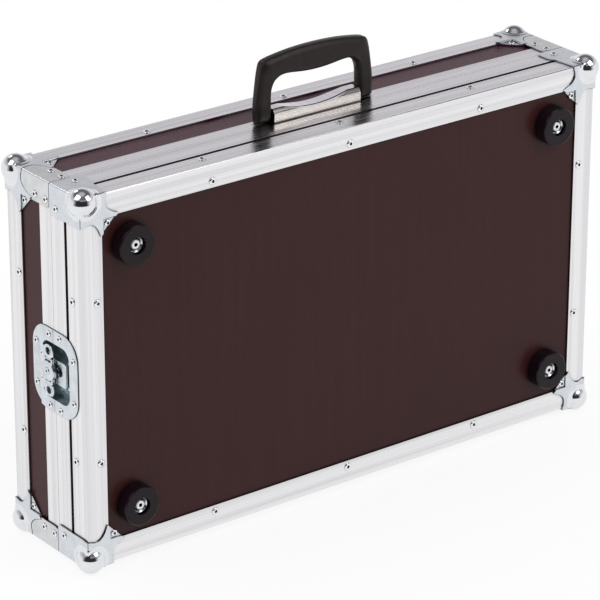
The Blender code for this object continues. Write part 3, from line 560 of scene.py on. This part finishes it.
def shaded(item, finishes, angle=50):
    """Smooth shading with creases past an angle, and the piece's materials."""
    work = opened(item)
    bmesh.ops.remove_doubles(work, verts=work.verts, dist=MERGE)
    bmesh.ops.dissolve_degenerate(work, dist=MERGE / 2, edges=work.edges)
    split_faces(work)
    slots = [face.material_index for face in work.faces]
    closed(item, work)
    item.data.materials.clear()
    for finish in finishes:
        item.data.materials.append(finish)
    item.data.polygons.foreach_set("material_index", slots)
    item.data.shade_smooth()
    item.data.set_sharp_from_angle(angle=math.radians(angle))
    return item


def through(item, name, matrix):
    """A copy of a piece put through a matrix, which may mirror it."""
    work = opened(item)
    work.transform(matrix)
    made = item_from(name, work)
    for finish in item.data.materials:
        made.data.materials.append(finish)
    return made


def joined(item, *others):
    """Adds the shells of other pieces to a piece, without a Boolean, keeping their slots."""
    work = opened(item)
    for other in others:
        work.from_mesh(other.data)
        drop(other)
    closed(item, work)
    return item


def declared(item, body, stands_for=()):
    """Evens out a piece's flat shading, and says which body it rides on and the nodes that it stands for."""
    step = item.modifiers.new("flat", 'WEIGHTED_NORMAL')
    step.keep_sharp = True
    settle(item)
    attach(item, body)
    if stands_for:
        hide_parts(*stands_for)


def corner_matrix(tray, way, up):
    """From a corner's own frame, inward along each axis, to the case's."""
    face_y, inward = TRAYS[tray]
    place = (way * HALF_X, face_y, MID_Z + up * HALF_Z)
    return Matrix.Translation(place) @ Matrix.Diagonal((-way, inward, -up, 1))


def place_corners(pattern, tray, stem):
    """Copies a corner's pattern to the four corners of its tray, for the nodes of a stem."""
    for corner, way, up in CORNERS:
        node = f"{tray}_{stem}_{corner}"
        piece = through(pattern, f"{node}_pressed", corner_matrix(tray, way, up))
        declared(piece, tray, [node])
    drop(pattern)


def plate_edge(tip):
    """One swooping edge of a ball corner's plate, square to the case's edge and on to its lobe."""
    curve = swoop((2 * MM, 25.6 * MM), (14.2 * MM, PLATE_WAIST), (PLATE_WAIST, tip), 18)
    return [(SHEET_OUT, PLATE_REACH)] + curve


def lobed_plate(normal, tip):
    """A ball corner's plate on one face, its lobe pressed down onto the board."""
    edge = plate_edge(tip)
    outline = [(SHEET_OUT, SHEET_OUT)] + edge + [(v, u) for u, v in reversed(edge)]
    plate = prism("plate", outline, normal, SHEET_OUT, SHEET_IN)
    far = PLATE_WAIST + tip - LOBE_FOLD
    lobe = [(LOBE_FOLD, LOBE_FOLD), (LOBE_FOLD, far), (far, LOBE_FOLD)]
    fuse(plate, prism("lobe", lobe, normal, -1 * MM, LOBE_IN))
    pocket = rectangle(LOBE_RIM, BEYOND, LOBE_RIM, BEYOND)
    cut(plate, prism("pocket", pocket, normal, -7 * MM, LOBE_IN - SHEET))
    along = [axis for axis in (X, Y, Z) if axis != normal]

    def on_rim(edge):
        return lies_at(edge, normal, SHEET_OUT) and any(lies_at(edge, axis, LOBE_RIM) for axis in along)

    round_edges(plate, on_rim, LOBE_RIM_RADIUS, segments=4)
    return plate


def side_outline(width, flare):
    """The base ball corner's plate on a side of the case, as far as the parting line."""
    end = BASE_DEPTH - HALF_GAP - SEAM
    nip = arc((width - SIDE_PLATE_NIP, end - SIDE_PLATE_NIP), SIDE_PLATE_NIP, 90, 0, 6)
    outline = [(SHEET_OUT, end)] + nip + flare + [(END_PLATE_WIDTH, 8 * MM)]
    return outline + [(PLATE_REACH, SHEET_OUT), (SHEET_OUT, SHEET_OUT)]


def round_folds(item):
    """Rounds the outer folds of a sheet that is bent over the case's edges."""
    def on_fold(edge):
        return sum(lies_at(edge, axis, SHEET_OUT) for axis in (X, Y, Z)) > 1

    round_edges(item, on_fold, FOLD_RADIUS, segments=4, merged=True)


def blended(first, second, radius):
    """The smooth union of two signed distances, with a fillet of about a radius."""
    share = max(radius - abs(first - second), 0) / radius
    return min(first, second) - share * share * radius / 4


def ball_height(centre, way):
    """How far the pressed ball's skin lies from its centre along a direction."""
    low, high = BALL_RADIUS * 0.98, BALL_REACH
    for _ in range(18):
        middle = (low + high) / 2
        sunk = [SHEET_OUT + BALL_SINK + FOLD_RADIUS - c for c in centre + way * middle]
        plates = Vector([max(c, 0) for c in sunk]).length + min(max(sunk), 0) - FOLD_RADIUS
        plates -= COLLAR_RISE * eased((COLLAR_FAR - middle) / (COLLAR_FAR - COLLAR_NEAR))
        if blended(middle - BALL_RADIUS, plates, BALL_FILLET) < 0:
            low = middle
        else:
            high = middle
    return low


def ball():
    """The pressed ball of a corner, drawn out of its plates with a fillet all round."""
    work = bmesh.new()
    centre = Vector((BALL_INSET, BALL_INSET, BALL_INSET))
    bmesh.ops.create_icosphere(work, subdivisions=6, radius=1)
    for vert in work.verts:
        way = vert.co.normalized()
        vert.co = centre + way * ball_height(centre, way)
    core = prism("core", rectangle(SHEET_IN, BEYOND, SHEET_IN, BEYOND), Y, SHEET_IN, BEYOND)
    return cut(item_from("ball", work), core)


def slit(along, width, start):
    """The open seam in a fold that runs along an axis, from the ball to the plate's end."""
    mid = SHEET_OUT + 0.29 * FOLD_RADIUS
    half = width / 2 * math.sqrt(0.5)
    box = rectangle(-3 * MM, 0.55 * MM, -half, half)
    outline = [(mid + depth + across, mid + depth - across) for depth, across in box]
    return prism("slit", outline, along, start, SLIT_END)


def corner_plates(tray):
    """The three plates of a tray's ball corner, square to Y, X and Z."""
    if tray == "lid":
        return [lobed_plate(normal, LOBE_FAR) for normal in (Y, X, Z)]
    flare = swoop((TOP_PLATE_WIDTH, 31 * MM), (END_PLATE_WIDTH, 18.5 * MM), (END_PLATE_WIDTH, 8 * MM), 18)
    end_outline = [(v, u) for u, v in side_outline(END_PLATE_WIDTH, [])]
    top_outline = side_outline(TOP_PLATE_WIDTH, flare[:-1])
    return [lobed_plate(Y, BASE_LOBE_FAR), prism("end_plate", end_outline, X, SHEET_OUT, SHEET_IN),
            prism("top_plate", top_outline, Z, SHEET_OUT, SHEET_IN)]


def make_ball_corners():
    """The eight ball corners, finer than their solids. The base's have open seams."""
    for tray in TRAYS:
        shell, *sides = corner_plates(tray)
        fuse(shell, *sides)
        round_folds(shell)
        globe = ball()
        if tray == "base":
            for piece in (shell, globe):
                cut(piece, slit(X, 1 * MM, 14.5 * MM), slit(Z, 0.6 * MM, 17 * MM))
        soften(shell, SHEET_EDGE)
        for face in globe.data.polygons:
            face.material_index = 1
        joined(shell, globe)
        shaded(shell, (ZINC, BALL_ZINC))
        place_corners(shell, tray, "ball_corner")


def make_braces():
    """The four angle braces of the lid's corners."""
    end = LID_DEPTH - HALF_GAP - SEAM
    outline = [(u, v + BRACE_LIFT + SEAM) for u, v in plate_edge(LOBE_FAR)]
    outline += [(BRACE_WAIST, LOBE_FAR + BRACE_LIFT), (BRACE_WAIST, LID_DEPTH - 4.5 * MM)]
    outline += [(PLATE_WAIST, end), (SHEET_OUT, end)]
    brace = prism("brace", outline, Z, SHEET_OUT, SHEET_IN)
    fuse(brace, prism("end", [(v, u) for u, v in outline], X, SHEET_OUT, SHEET_IN))
    round_folds(brace)
    soften(brace, SHEET_EDGE)
    shaded(brace, (BRACE_ZINC,))
    place_corners(brace, "lid", "corner_brace")


def rivet(work, place, normal, radius=RIVET_RADIUS, height=RIVET_HEIGHT):
    """A blind rivet's domed head, with the hole that its mandrel left, painted near-black as shade."""
    hole, sunk = 0.42 * radius, -0.6 * MM
    profile = [(0, sunk, 0), (radius, sunk, 0), (radius, 0.1 * height, 0)]
    for degrees in (25, 50, 70, 85):
        turn = math.radians(degrees)
        profile.append((hole + (radius - hole) * math.cos(turn), height * (0.1 + 0.9 * math.sin(turn)), 0))
    # The hole's faces are painted shade.
    profile += [(hole, 0.97 * height, 0), (0.96 * hole, 0.9 * height, 1), (0.9 * hole, -0.3 * height, 1),
                (0, -0.35 * height, 1)]
    lathe(work, profile, facing(place, normal), segments=24)


def strip_rivets(work, face_y, inward):
    """The rivets along one tray's edge profiles, on its face and on its four sides."""
    side_y = face_y + inward * RIVET_INSET
    for up in (-1, 1):
        face_z = MID_Z + up * (HALF_Z - RIVET_INSET)
        for x in (-RIVET_X, 0, RIVET_X):
            rivet(work, (x, face_y, face_z), (0, -inward, 0))
            rivet(work, (x, side_y, MID_Z + up * HALF_Z), (0, 0, up))
        end_z = MID_Z + up * RIVET_Z
        for way in (-1, 1):
            rivet(work, (way * (HALF_X - RIVET_INSET), face_y, end_z), (0, -inward, 0))
            rivet(work, (way * HALF_X, side_y, end_z), (way, 0, 0))


def corner_rivets(work, tray):
    """The rivets through a tray's ball corners and, on the lid, through its braces."""
    def pair(face, depth, inset):
        return [((face, depth, inset), (-1, 0, 0)), ((inset, depth, face), (0, 0, -1))]

    lobe, floor = 27.5 * MM, LOBE_IN - SHEET
    spots = [((lobe, floor, lobe), (0, -1, 0))]
    if tray == "base":
        spots += pair(SHEET_OUT, 35.5 * MM, 19.3 * MM)
    else:
        spots += pair(floor, lobe, lobe)
        for depth in (47 * MM, 63.3 * MM):
            spots += pair(SHEET_OUT, depth, 15.3 * MM)
    for _, way, up in CORNERS:
        matrix = corner_matrix(tray, way, up)
        for place, normal in spots:
            rivet(work, matrix @ Vector(place), matrix.to_3x3() @ Vector(normal), 3.3 * MM)


def make_rivets():
    """One piece of all the rivets on each tray."""
    for tray, (face_y, inward) in TRAYS.items():
        work = bmesh.new()
        strip_rivets(work, face_y, inward)
        corner_rivets(work, tray)
        piece = item_from(f"{tray}_rivets", work)
        shaded(piece, (RIVET_STEEL, HOLLOW_SHADE), angle=60)
        declared(piece, tray)


def make_feet():
    """Four turned rubber feet with rounded rims, fine rings, a washer and a rivet."""
    side = [(0, 0), (18.4, 0), (18.4, 11.2), (18.2, 12.1), (17.8, 12.7), (17.2, 13.0)]
    face = [(14.6, 13.0), (14.4, 12.85), (14.1, 12.85), (13.9, 13.0), (11.4, 13.0), (11.2, 12.85),
            (10.9, 12.85), (10.7, 13.0), (8.5, 13.0), (8.1, 12.85), (8.0, 12.5), (7.8, 6.0), (0, 6.0)]
    washer = [(0, 6.0), (7.2, 6.0), (7.2, 8.9), (7.0, 9.1), (6.7, 8.9), (5.4, 7.3), (4.4, 7.0)]
    head = [(4.4, 8.6), (4.2, 9.2), (3.5, 9.7), (2.6, 9.7), (1.8, 9.4)]
    # The rivet's hole is painted shade.
    hole = [(1.7, 7.2), (0, 7.1)]
    metal = turned(washer, 3) + turned(head, 1) + turned(hole, 2)
    for corner, way, up in CORNERS:
        place = facing((way * FOOT_X, FRONT_Y + FOOT_SUNK, MID_Z + up * FOOT_Z), (0, -1, 0))
        work = bmesh.new()
        lathe(work, turned(side + face), place, segments=72)
        lathe(work, metal, place, segments=40)
        piece = item_from(f"foot_{corner}_turned", work)
        shaded(piece, (RUBBER, WASHER_STEEL, HOLLOW_SHADE, LATCH_ZINC), angle=60)
        declared(piece, "base", [f"foot_{corner}"])


def smoothed(table, count):
    """Rows of a table resampled evenly along a smooth curve through them."""
    rows = []
    spans = len(table) - 1
    for index in range(count):
        place = index * spans / (count - 1)
        span = min(int(place), spans - 1)
        t = place - span
        before, after = table[max(span - 1, 0)], table[min(span + 2, spans)]
        row = []
        for a, b, c, d in zip(before, table[span], table[span + 1], after):
            row.append(0.5 * (2 * b + (c - a) * t + (2 * a - 5 * b + 4 * c - d) * t ** 2
                              + (3 * b - a - 3 * c + d) * t ** 3))
        rows.append(row)
    return rows


def grip_rings():
    """The grip's cross-sections from its left foot over the top to its right one."""
    # The outer edge along X and Z, the inner edge, and half the width, over the case's top
    sections = [
        (65.3, 0.9, 49.2, 0.9, 2.2), (65.4, 2.6, 49.2, 2.6, 4.3), (65.5, 6.8, 49.2, 6.8, 6.0),
        (65.3, 20.0, 49.2, 20.0, 6.0), (62.9, 38.0, 49.0, 30.0, 6.4), (60.6, 50.5, 46.5, 37.0, 7.0),
        (58.0, 57.6, 42.0, 41.0, 7.5), (51.5, 60.1, 36.0, 42.8, 7.5), (38.0, 62.2, 28.0, 42.5, 7.5),
        (25.0, 63.6, 18.0, 41.2, 7.5), (12.0, 64.3, 9.0, 40.3, 7.5), (0, 64.5, 0, 40.0, 7.5),
    ]
    mirrored = [(-ox, oz, -ix, iz, half) for ox, oz, ix, iz, half in reversed(sections[:-1])]
    # Shares of the way from the inner edge to the outer one, and of half the width
    shape = [(0.0, 0.35), (0.05, 0.72), (0.15, 1.0), (0.4, 1.02), (0.7, 0.95), (0.82, 0.85), (0.86, 0.74),
             (0.95, 0.62), (1.0, 0.4)]
    rings = []
    for ox, oz, ix, iz, half in smoothed(sections + mirrored, 89):
        outer = Vector((ox, 0, oz)) * MM
        inner = Vector((ix, 0, iz)) * MM
        ring = []
        for side, points in ((-1, shape), (1, shape[::-1])):
            for share, part in points:
                ring.append(inner.lerp(outer, share) + Vector((0, side * part * half * MM, TOP_Z)))
        rings.append(ring)
    return rings


def bore_for_pins(item, near, far):
    """Bores a piece of the handle for its two pins, from near to far of the middle."""
    for way in (-1, 1):
        span = sorted((way * near, way * far))
        cut(item, rod("bore", (0, 0, PIN_Z), X, PIN_BORE, *span))


def make_grip():
    """The moulded grip of the handle."""
    work = bmesh.new()
    loft(work, grip_rings())
    grip = item_from("handle_grip_moulded", work)
    bore_for_pins(grip, 43.5 * MM, 59.8 * MM)
    shaded(grip, (GRIP_PLASTIC,))
    declared(grip, "handle", ["handle_grip"])


def make_rail():
    """The scooped aluminium rail under the grip. Its upward faces, the crest and the scoop, take a paler
    lilac metal as a painted reflection, and its groove is painted near-black as shade.
    """
    half, shoulder = RAIL_HALF_WIDTH, RAIL_CREST - 3.5 * MM
    slope = [(half, shoulder), (half - 2.5 * MM, RAIL_CREST)]
    section = [(-half, RAIL_FOOT), (half, RAIL_FOOT)] + slope + [(-y, z) for y, z in reversed(slope)]
    rail = prism("handle_rail_scooped", section, X, -RAIL_HALF_LENGTH, RAIL_HALF_LENGTH)
    dip, half_chord, half_reach = 5.1 * MM, 36 * MM, 41 * MM
    radius = (half_chord ** 2 + dip ** 2) / (2 * dip)
    sweep = math.degrees(math.asin(half_reach / radius))
    scoop = arc((0, SCOOP_FLOOR + radius), radius, -90 - sweep, -90 + sweep, 60)
    cut(rail, prism("scoop", scoop, Y, -15 * MM, 15 * MM))
    bore_for_pins(rail, 40.2 * MM, 53.5 * MM)
    groove = rectangle(*GROOVE, RAIL_FOOT + 2 * MM, RAIL_CREST + 1 * MM)
    cut(rail, prism("groove", groove, X, -60 * MM, 60 * MM))
    soften(rail, 0.3 * MM, angle=25)
    slack = 0.1 * MM
    for face in rail.data.polygons:
        # Upward faces take the painted reflection; the groove's walls take painted shade.
        if face.normal.z > 0.8:
            face.material_index = 1
        in_groove = GROOVE[0] - slack < face.center.y < GROOVE[1] + slack
        if in_groove and face.center.z > RAIL_FOOT + 1 * MM and abs(face.normal.x) < 0.5:
            face.material_index = 2
    shaded(rail, (RAIL_METAL, CREST_SHEEN_METAL, HOLLOW_SHADE), angle=40)
    declared(rail, "lid", ["handle_rail"])


def half_plate(reach, half_height, radius, start):
    """Half of a rounded plate: square at the parting line, rounded at its outer side."""
    way = 1 if reach > 0 else -1
    curve = arc((abs(reach) - radius, half_height - radius), radius, 0, 90, 16)
    upper = [(way * d, z) for d, z in curve]
    lower = [(d, -z) for d, z in reversed(upper)]
    return [(start, -half_height)] + lower + upper + [(start, half_height)]


def stepped(item):
    """Bends a flange's outer part down onto the board beyond the closing profile."""
    work = opened(item)
    for index in range(5):
        bmesh.ops.bisect_plane(work, geom=work.verts[:] + work.edges[:] + work.faces[:],
                               plane_co=(0, STEP_START + STEP_RUN * index / 4, 0), plane_no=(0, 1, 0))
    for vert in work.verts:
        vert.co.x += eased((vert.co.y - STEP_START) / STEP_RUN) * BOARD_FACE
    closed(item, work)


def lens_cutter(flip, window):
    """The cutter of the lens-shaped opening over or under the rotor, in the lid's half."""
    foot, back = 12.7 * MM, -5 * MM
    curve = arc((window - WINDOW_RADIUS, WINDOW_HALF_HEIGHT - WINDOW_RADIUS), WINDOW_RADIUS, 0, 90, 16)
    outline = [(back, foot), (0, foot)] + curve[4:] + [(back, WINDOW_HALF_HEIGHT)]
    return prism("lens", [(d, flip * z) for d, z in outline], X, -7 * MM, 0.3 * MM)


def tone_dish(dish, window):
    """Slots of a dish: 1 deep in the tub, in painted shade, 2 on what stands in it, 3 on the flange's
    rolled rim.
    """
    for face in dish.data.polygons:
        depth, across, up = face.center
        outer = abs(across) > window + 2 * MM or abs(up) > 30 * MM
        # Slot 1 takes the painted shade of the tub's depths.
        if depth > 2.8 * MM or depth > 0.6 * MM and abs(up) > 13.8 * MM:
            face.material_index = 1
        elif depth > 0.2 * MM:
            face.material_index = 2
        elif outer and abs(face.normal.x) < 0.85:
            face.material_index = 3


def dish_half(tray):
    """One half of the pressed dish, in the latch's own frame of depth, across and up."""
    way, reach, window = DISH_HALVES[tray]
    start = way * HALF_GAP
    flange = half_plate(way * reach, DISH_HALF_HEIGHT, DISH_RADIUS, start)
    dish = prism("dish", flange, X, FLANGE_OUT, FLANGE_IN)

    def on_rim(edge):
        return lies_at(edge, X, FLANGE_OUT) and not lies_at(edge, Y, start)

    round_edges(dish, on_rim, 0.8 * MM, segments=3)
    tub = half_plate(way * (window + TUB_WALL), WINDOW_HALF_HEIGHT + TUB_WALL,
                     WINDOW_RADIUS + TUB_WALL, start)
    fuse(dish, prism("tub", tub, X, -0.9 * MM, TUB_FLOOR + TUB_WALL))
    hollow = half_plate(way * window, WINDOW_HALF_HEIGHT, WINDOW_RADIUS, -way * 5 * MM)
    if tray == "lid":
        bore = rod("bore", (0, ROTOR_OFFSET, 0), X, 3.4 * MM, -7 * MM, 0.3 * MM)
        hollow = prism("hollow", hollow, X, FLANGE_IN, TUB_FLOOR)
        cut(dish, hollow, lens_cutter(-1, window), lens_cutter(1, window), bore)
    else:
        cut(dish, prism("hollow", hollow, X, FLANGE_OUT - 5 * MM, TUB_FLOOR))
        for name, outline, top in (("keeper", rectangle(-13.5, -10.5, -8, 8), 2.6 * MM),
                                   ("shelf", rectangle(-24.9, -16.2, -13.2, 13.2), 2.4 * MM)):
            fuse(dish, prism(name, millimetres(outline), X, top, TUB_FLOOR + 0.6 * MM))
    soften(dish, DISH_EDGE)
    if tray == "lid":
        stepped(dish)
    tone_dish(dish, window)
    return dish


def dish_rivets(tray):
    """The rivets of one half of the dish."""
    work = bmesh.new()
    spots = {"lid": [(6.5, 34), (6.5, -34), (29, 20), (29, -20)],
             "base": [(-10, 34.4), (-10, -34.4), (-31, 20), (-31, -20)]}[tray]
    for across, up in millimetres(spots):
        sunk = BOARD_FACE if across > STEP_START else 0
        rivet(work, (FLANGE_OUT + sunk, across, up), (-1, 0, 0), 3.1 * MM, 1.1 * MM)
    if tray == "lid":
        for up in (-12 * MM, 12 * MM):
            rivet(work, (FLANGE_OUT, 18.2 * MM, up), (-1, 0, 0), 2.3 * MM, 0.4 * MM)
    return item_from("dish_rivets", work)


def latch_key():
    """The rotor: a domed post with its centre rivet, shaft and lugs."""
    work = bmesh.new()
    dome = [(0, -4.2), (9.4, -4.2), (9.4, -1.9), (9.1, -1.35), (8.5, -1.05), (7.6, -1.0), (7.2, -1.25),
            (6.8, -1.25), (6.4, -1.0), (3.3, -1.0), (3.1, -0.5), (2.4, -0.1), (1.2, 0), (0.9, -0.2)]
    # The centre rivet's hole is painted shade.
    profile = turned(dome) + turned([(0.8, -0.9), (0, -1.0)], 2)
    lathe(work, profile, facing((FLANGE_OUT - 4.5 * MM, ROTOR_OFFSET, 0), (-1, 0, 0)), segments=56)
    post = item_from("post", work)
    shaft = rod("shaft", (0, ROTOR_OFFSET, 0), X, 3 * MM, -2.1 * MM, TUB_FLOOR - 0.3 * MM)
    lugs = []
    for up in (-1, 1):
        for way in (-1, 1):
            across = sorted((ROTOR_OFFSET + way * 4.2 * MM, ROTOR_OFFSET + way * 6.2 * MM))
            height = sorted((up * 4.7 * MM, up * 12.3 * MM))
            lug = prism("lug", rectangle(*across, *height), X, LUG_OUT, -1.8 * MM)
            lugs.append(soften(lug, 0.5 * MM, segments=3))
    return joined(post, shaft, *lugs)


def wing_eye(eye):
    """The rolled rim of a wing's thumb hole."""
    work = bmesh.new()
    loops = []
    for radius, height in millimetres([(3.5, -0.5), (3.6, -0.9), (4.1, -1.0), (4.6, -0.8), (4.7, -0.4)]):
        ring = circle(radius, 40)
        loops.append([work.verts.new((WING_DEPTH + height, eye[1] + u, eye[2] + v)) for u, v in ring])
    for near, far in zip(loops, loops[1:] + loops[:1]):
        band(work, near, far)
    return item_from("rolled", work)


def latch_wing(up):
    """One folding wing: a curled tab with a rolled thumb eye on its knuckle."""
    pivot, half_sheet = up * WING_PIVOT, 0.6 * MM
    flare = swoop((3.9, 2.6), (7.4, 2.6), (7.4, 6.2), 8)
    end = swoop((7.4, 6.2), (7.4, 13.7), (0, 13.7), 14)
    side = millimetres([(3.9, 0)] + flare + end[1:])
    outline = side + [(-d, z) for d, z in reversed(side[:-1])]
    outline = [(ROTOR_OFFSET + d, pivot + up * z) for d, z in outline]
    wing = prism("wing", outline, X, WING_DEPTH - half_sheet, WING_DEPTH + half_sheet)
    eye = (0, ROTOR_OFFSET, pivot + up * 7.9 * MM)
    hole = rod("eye", eye, X, 3.6 * MM, WING_DEPTH - 3 * MM, WING_DEPTH + 3 * MM)
    cut(wing, hole)
    soften(wing, 0.3 * MM)
    for name, radius, half, segments in (("knuckle", 1.15 * MM, 3.9 * MM, 24),
                                         ("pin", 0.62 * MM, 6.2 * MM, 16)):
        span = (ROTOR_OFFSET - half, ROTOR_OFFSET + half)
        joined(wing, rod(name, (WING_DEPTH, 0, pivot), Y, radius, *span, segments))
    return joined(wing, wing_eye(eye))


def latch_claw():
    """The flat claw, with the rotor's slot and a round opening."""
    outline = [(14.8, -11.5), (14.8, 11.5), (-15.6, 11.5), (-17.1, 10), (-17.1, -10), (-15.6, -11.5)]
    claw = prism("claw", millimetres(outline), X, 0.1 * MM, 1.7 * MM)
    radius, travel = 3.3 * MM, 4 * MM
    slot = arc((ROTOR_OFFSET, 0), radius, 90, 270, 16)
    slot += arc((ROTOR_OFFSET + travel, 0), radius, -90, 90, 16)
    cut(claw, prism("slot", slot, X, -5 * MM, 7 * MM))
    cut(claw, rod("eye", (0, -6.8 * MM, 1.5 * MM), X, 4.6 * MM, -2 * MM, 7 * MM))
    return soften(claw, 0.3 * MM)


def latch_patterns():
    """The left latch's pieces in its own frame: each with its stem, its body or that body's
    stem, its record slot and whether it stands for a node."""
    patterns = []
    for tray in ("lid", "base"):
        dish = shaded(dish_half(tray), (LATCH_ZINC, SHADED_ZINC, INNER_ZINC, RIM_ZINC))
        rivets = shaded(dish_rivets(tray), (RIVET_STEEL, HOLLOW_SHADE), angle=60)
        patterns.append((dish, f"latch_dish_{tray}", tray, "zinc_latch", True))
        patterns.append((rivets, f"latch_rivets_{tray}", tray, "plated_steel", False))
    key = shaded(latch_key(), (LATCH_ZINC, SHADED_ZINC, HOLLOW_SHADE))
    patterns.append((key, "latch_key", "key", "zinc_latch", True))
    for label, up in (("upper", 1), ("lower", -1)):
        wing = shaded(latch_wing(up), (LATCH_ZINC,))
        patterns.append((wing, f"latch_wing_{label}", f"wing_{label}", "zinc_latch", True))
    claw = shaded(latch_claw(), (INNER_ZINC,))
    patterns.append((claw, "latch_claw", "claw", "plated_steel", True))
    return patterns


def make_latches():
    """Both latches: the patterns at the left end, and mirrored at the right one."""
    for pattern, stem, body, slot, stands in latch_patterns():
        for side, way in (("left", -1), ("right", 1)):
            matrix = Matrix.Translation((way * HALF_X, PARTING_Y, MID_Z)) @ Matrix.Diagonal((-way, 1, 1, 1))
            node = f"{stem}_{side}"
            rider = body if body in TRAYS else f"{body}_{side}"
            piece = through(pattern, f"{node}_pressed" if stands else node, matrix)
            declared(piece, rider, [node] if stands else ())
        drop(pattern)


def crumple(block, middle):
    """Splits a foam block's faces finely and sinks them unevenly towards its middle."""
    work = opened(block)
    split_faces(work)
    for _ in range(4):
        long = [edge for edge in work.edges if edge.calc_length() > FOAM_CELL]
        bmesh.ops.subdivide_edges(work, edges=long, cuts=1, use_grid_fill=True)
        split_faces(work)
    for vert in work.verts:
        sag = noise.noise(vert.co * 22) * 0.5 + 0.5
        vert.co += (middle - vert.co).normalized() * sag * FOAM_SAG
    closed(block, work)


def make_foam():
    """The foam linings, cut slightly uneven and with rounded edges."""
    for tray, (face_y, inward) in TRAYS.items():
        node = f"{tray}_foam_lining"
        low, high = (Vector(corner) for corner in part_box(node))
        block = prism(f"{node}_cut", rectangle(low.x, high.x, low.y, high.y), Z, low.z, high.z)
        floor = face_y + inward * (FOAM_BACK + FOAM_FLOOR)
        span = sorted((floor, PARTING_Y - inward * 20 * MM))
        pocket = rectangle(low.x + FOAM_WALL, high.x - FOAM_WALL, *span)
        cut(block, prism("pocket", pocket, Z, low.z + FOAM_WALL, high.z - FOAM_WALL))
        soften(block, 2.5 * MM, segments=4)
        crumple(block, (low + high) / 2)
        shaded(block, (FOAM,), angle=60)
        declared(block, tray, [node])


def dress_nodes():
    """Materials for the nodes that keep their solids."""
    for name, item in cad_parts.items():
        finish = RIVET_STEEL
        upright = name.endswith(("_left", "_right"))
        if "profile" in name:
            finish = ALUMINIUM[Z if upright else X]
        elif name.endswith("_panel"):
            finish = PHENOLIC["panel"]
        elif "board" in name:
            finish = PHENOLIC["wall_z" if upright else "wall_x_painted_sheen"]
        item.data.materials.clear()
        item.data.materials.append(finish)


def make_camera():
    """The photograph's camera, fitted to the case's straight edges."""
    data = bpy.data.cameras.new("camera")
    data.lens = CAMERA_LENS
    data.sensor_width = 36.0
    data.clip_end = 50.0
    camera = placed("camera", data)
    roll = Matrix.Rotation(math.radians(CAMERA_ROLL), 4, 'Z')
    camera.matrix_world = facing(CAMERA_AT, CAMERA_AIM - CAMERA_AT, '-Z') @ roll
    bpy.context.scene.camera = camera


def make_floor():
    """A pale floor that fades into the white background and keeps the case's shadow."""
    made, tree = new_finish("floor")
    tree.nodes.remove(tree.nodes["Principled BSDF"])
    rays = add_node(tree, 'LightPath').outputs
    distance = vector_node(tree, 'LENGTH', own_place(tree), output="Value")
    fade = spread(tree, distance, 0.86, 1.0, start=0.25, end=0.7)
    seen = math_node(tree, 'MULTIPLY', rays["Is Camera Ray"], fade)
    seen = math_node(tree, 'MULTIPLY_ADD', rays["Is Glossy Ray"], 0.75, seen)
    paper = add_node(tree, 'BsdfDiffuse', {"Color": (0.86, 0.86, 0.87, 1)}).outputs[0]
    glow = add_node(tree, 'Emission').outputs[0]
    mixed = add_node(tree, 'MixShader', {0: seen, 1: paper, 2: glow}).outputs[0]
    tree.links.new(mixed, tree.nodes["Material Output"].inputs["Surface"])
    work = bmesh.new()
    bmesh.ops.create_circle(work, cap_ends=True, segments=96, radius=2.2)
    floor = item_from("floor", work)
    floor.data.materials.append(made)


def room_tone(tree, way):
    """What metal sees along a direction: a white room with a dark side and a grey ceiling."""
    height = add_node(tree, 'SeparateXYZ', {0: way}).outputs["Z"]
    level = vector_node(tree, 'NORMALIZE', vector_node(tree, 'MULTIPLY', way, (1, 1, 0)))
    dark_side = Vector((CAMERA_AT.x, CAMERA_AT.y, 0)).normalized()
    turn = vector_node(tree, 'DOT_PRODUCT', level, dark_side, output="Value")
    rising = spread(tree, height, start=-0.26, end=-0.14)
    falling = spread(tree, height, 1, 0, start=0.46, end=0.58)
    dark = math_node(tree, 'MULTIPLY', rising, falling)
    dark = math_node(tree, 'MULTIPLY', dark, spread(tree, turn, start=0.35, end=0.75))
    tone = (0.96, 0.96, 0.97)
    # The wall, the ceiling and the light over it, each from the height where it starts
    for start, end, colour in ((0.18, 0.36, (0.64, 0.62, 0.65)), (0.48, 0.66, (0.15, 0.15, 0.16)),
                               (0.9, 0.98, (0.52, 0.52, 0.54))):
        tone = between(tree, spread(tree, height, start=start, end=end), tone, colour)
    return between(tree, dark, tone, (0.03, 0.03, 0.034))


def make_world():
    """A white studio, plain to the camera and to dull surfaces, with a room in the metal."""
    world = bpy.data.worlds.new("studio")
    bpy.context.scene.world = world
    world.use_nodes = True
    world.cycles.sampling_method = 'NONE'
    tree = world.node_tree
    room = room_tone(tree, own_place(tree, "Generated"))
    rays = add_node(tree, 'LightPath').outputs
    tone = between(tree, rays["Is Glossy Ray"], (0.78, 0.78, 0.79), room)
    clear = math_node(tree, 'MAXIMUM', rays["Is Camera Ray"], rays["Is Transmission Ray"])
    tree.links.new(between(tree, clear, tone, even(1)), tree.nodes["Background"].inputs["Color"])


def make_lamps():
    """Two large windows above the camera's sides and a small one behind the case."""
    for name, place, size, power in (("window_left", (-1.73, -0.08, 2.275), 1.6, 17.0),
                                     ("window_right", (0.76, -1.545, 1.92), 1.35, 15.0),
                                     ("window_back", (-0.18, 1.65, 1.74), 0.5, 3.0)):
        data = bpy.data.lights.new(name, 'AREA')
        data.size = size
        data.energy = power
        lamp = placed(name, data)
        lamp.matrix_world = facing(place, LAMP_AIM - Vector(place), '-Z')
        lamp.visible_camera = False


def main():
    """Dresses the frame and sets the stage."""
    make_camera()
    dress_nodes()
    make_ball_corners()
    make_braces()
    make_rivets()
    make_feet()
    make_grip()
    make_rail()
    make_latches()
    make_foam()
    make_floor()
    make_world()
    make_lamps()
    bpy.context.scene.view_settings.view_transform = 'Standard'


main()
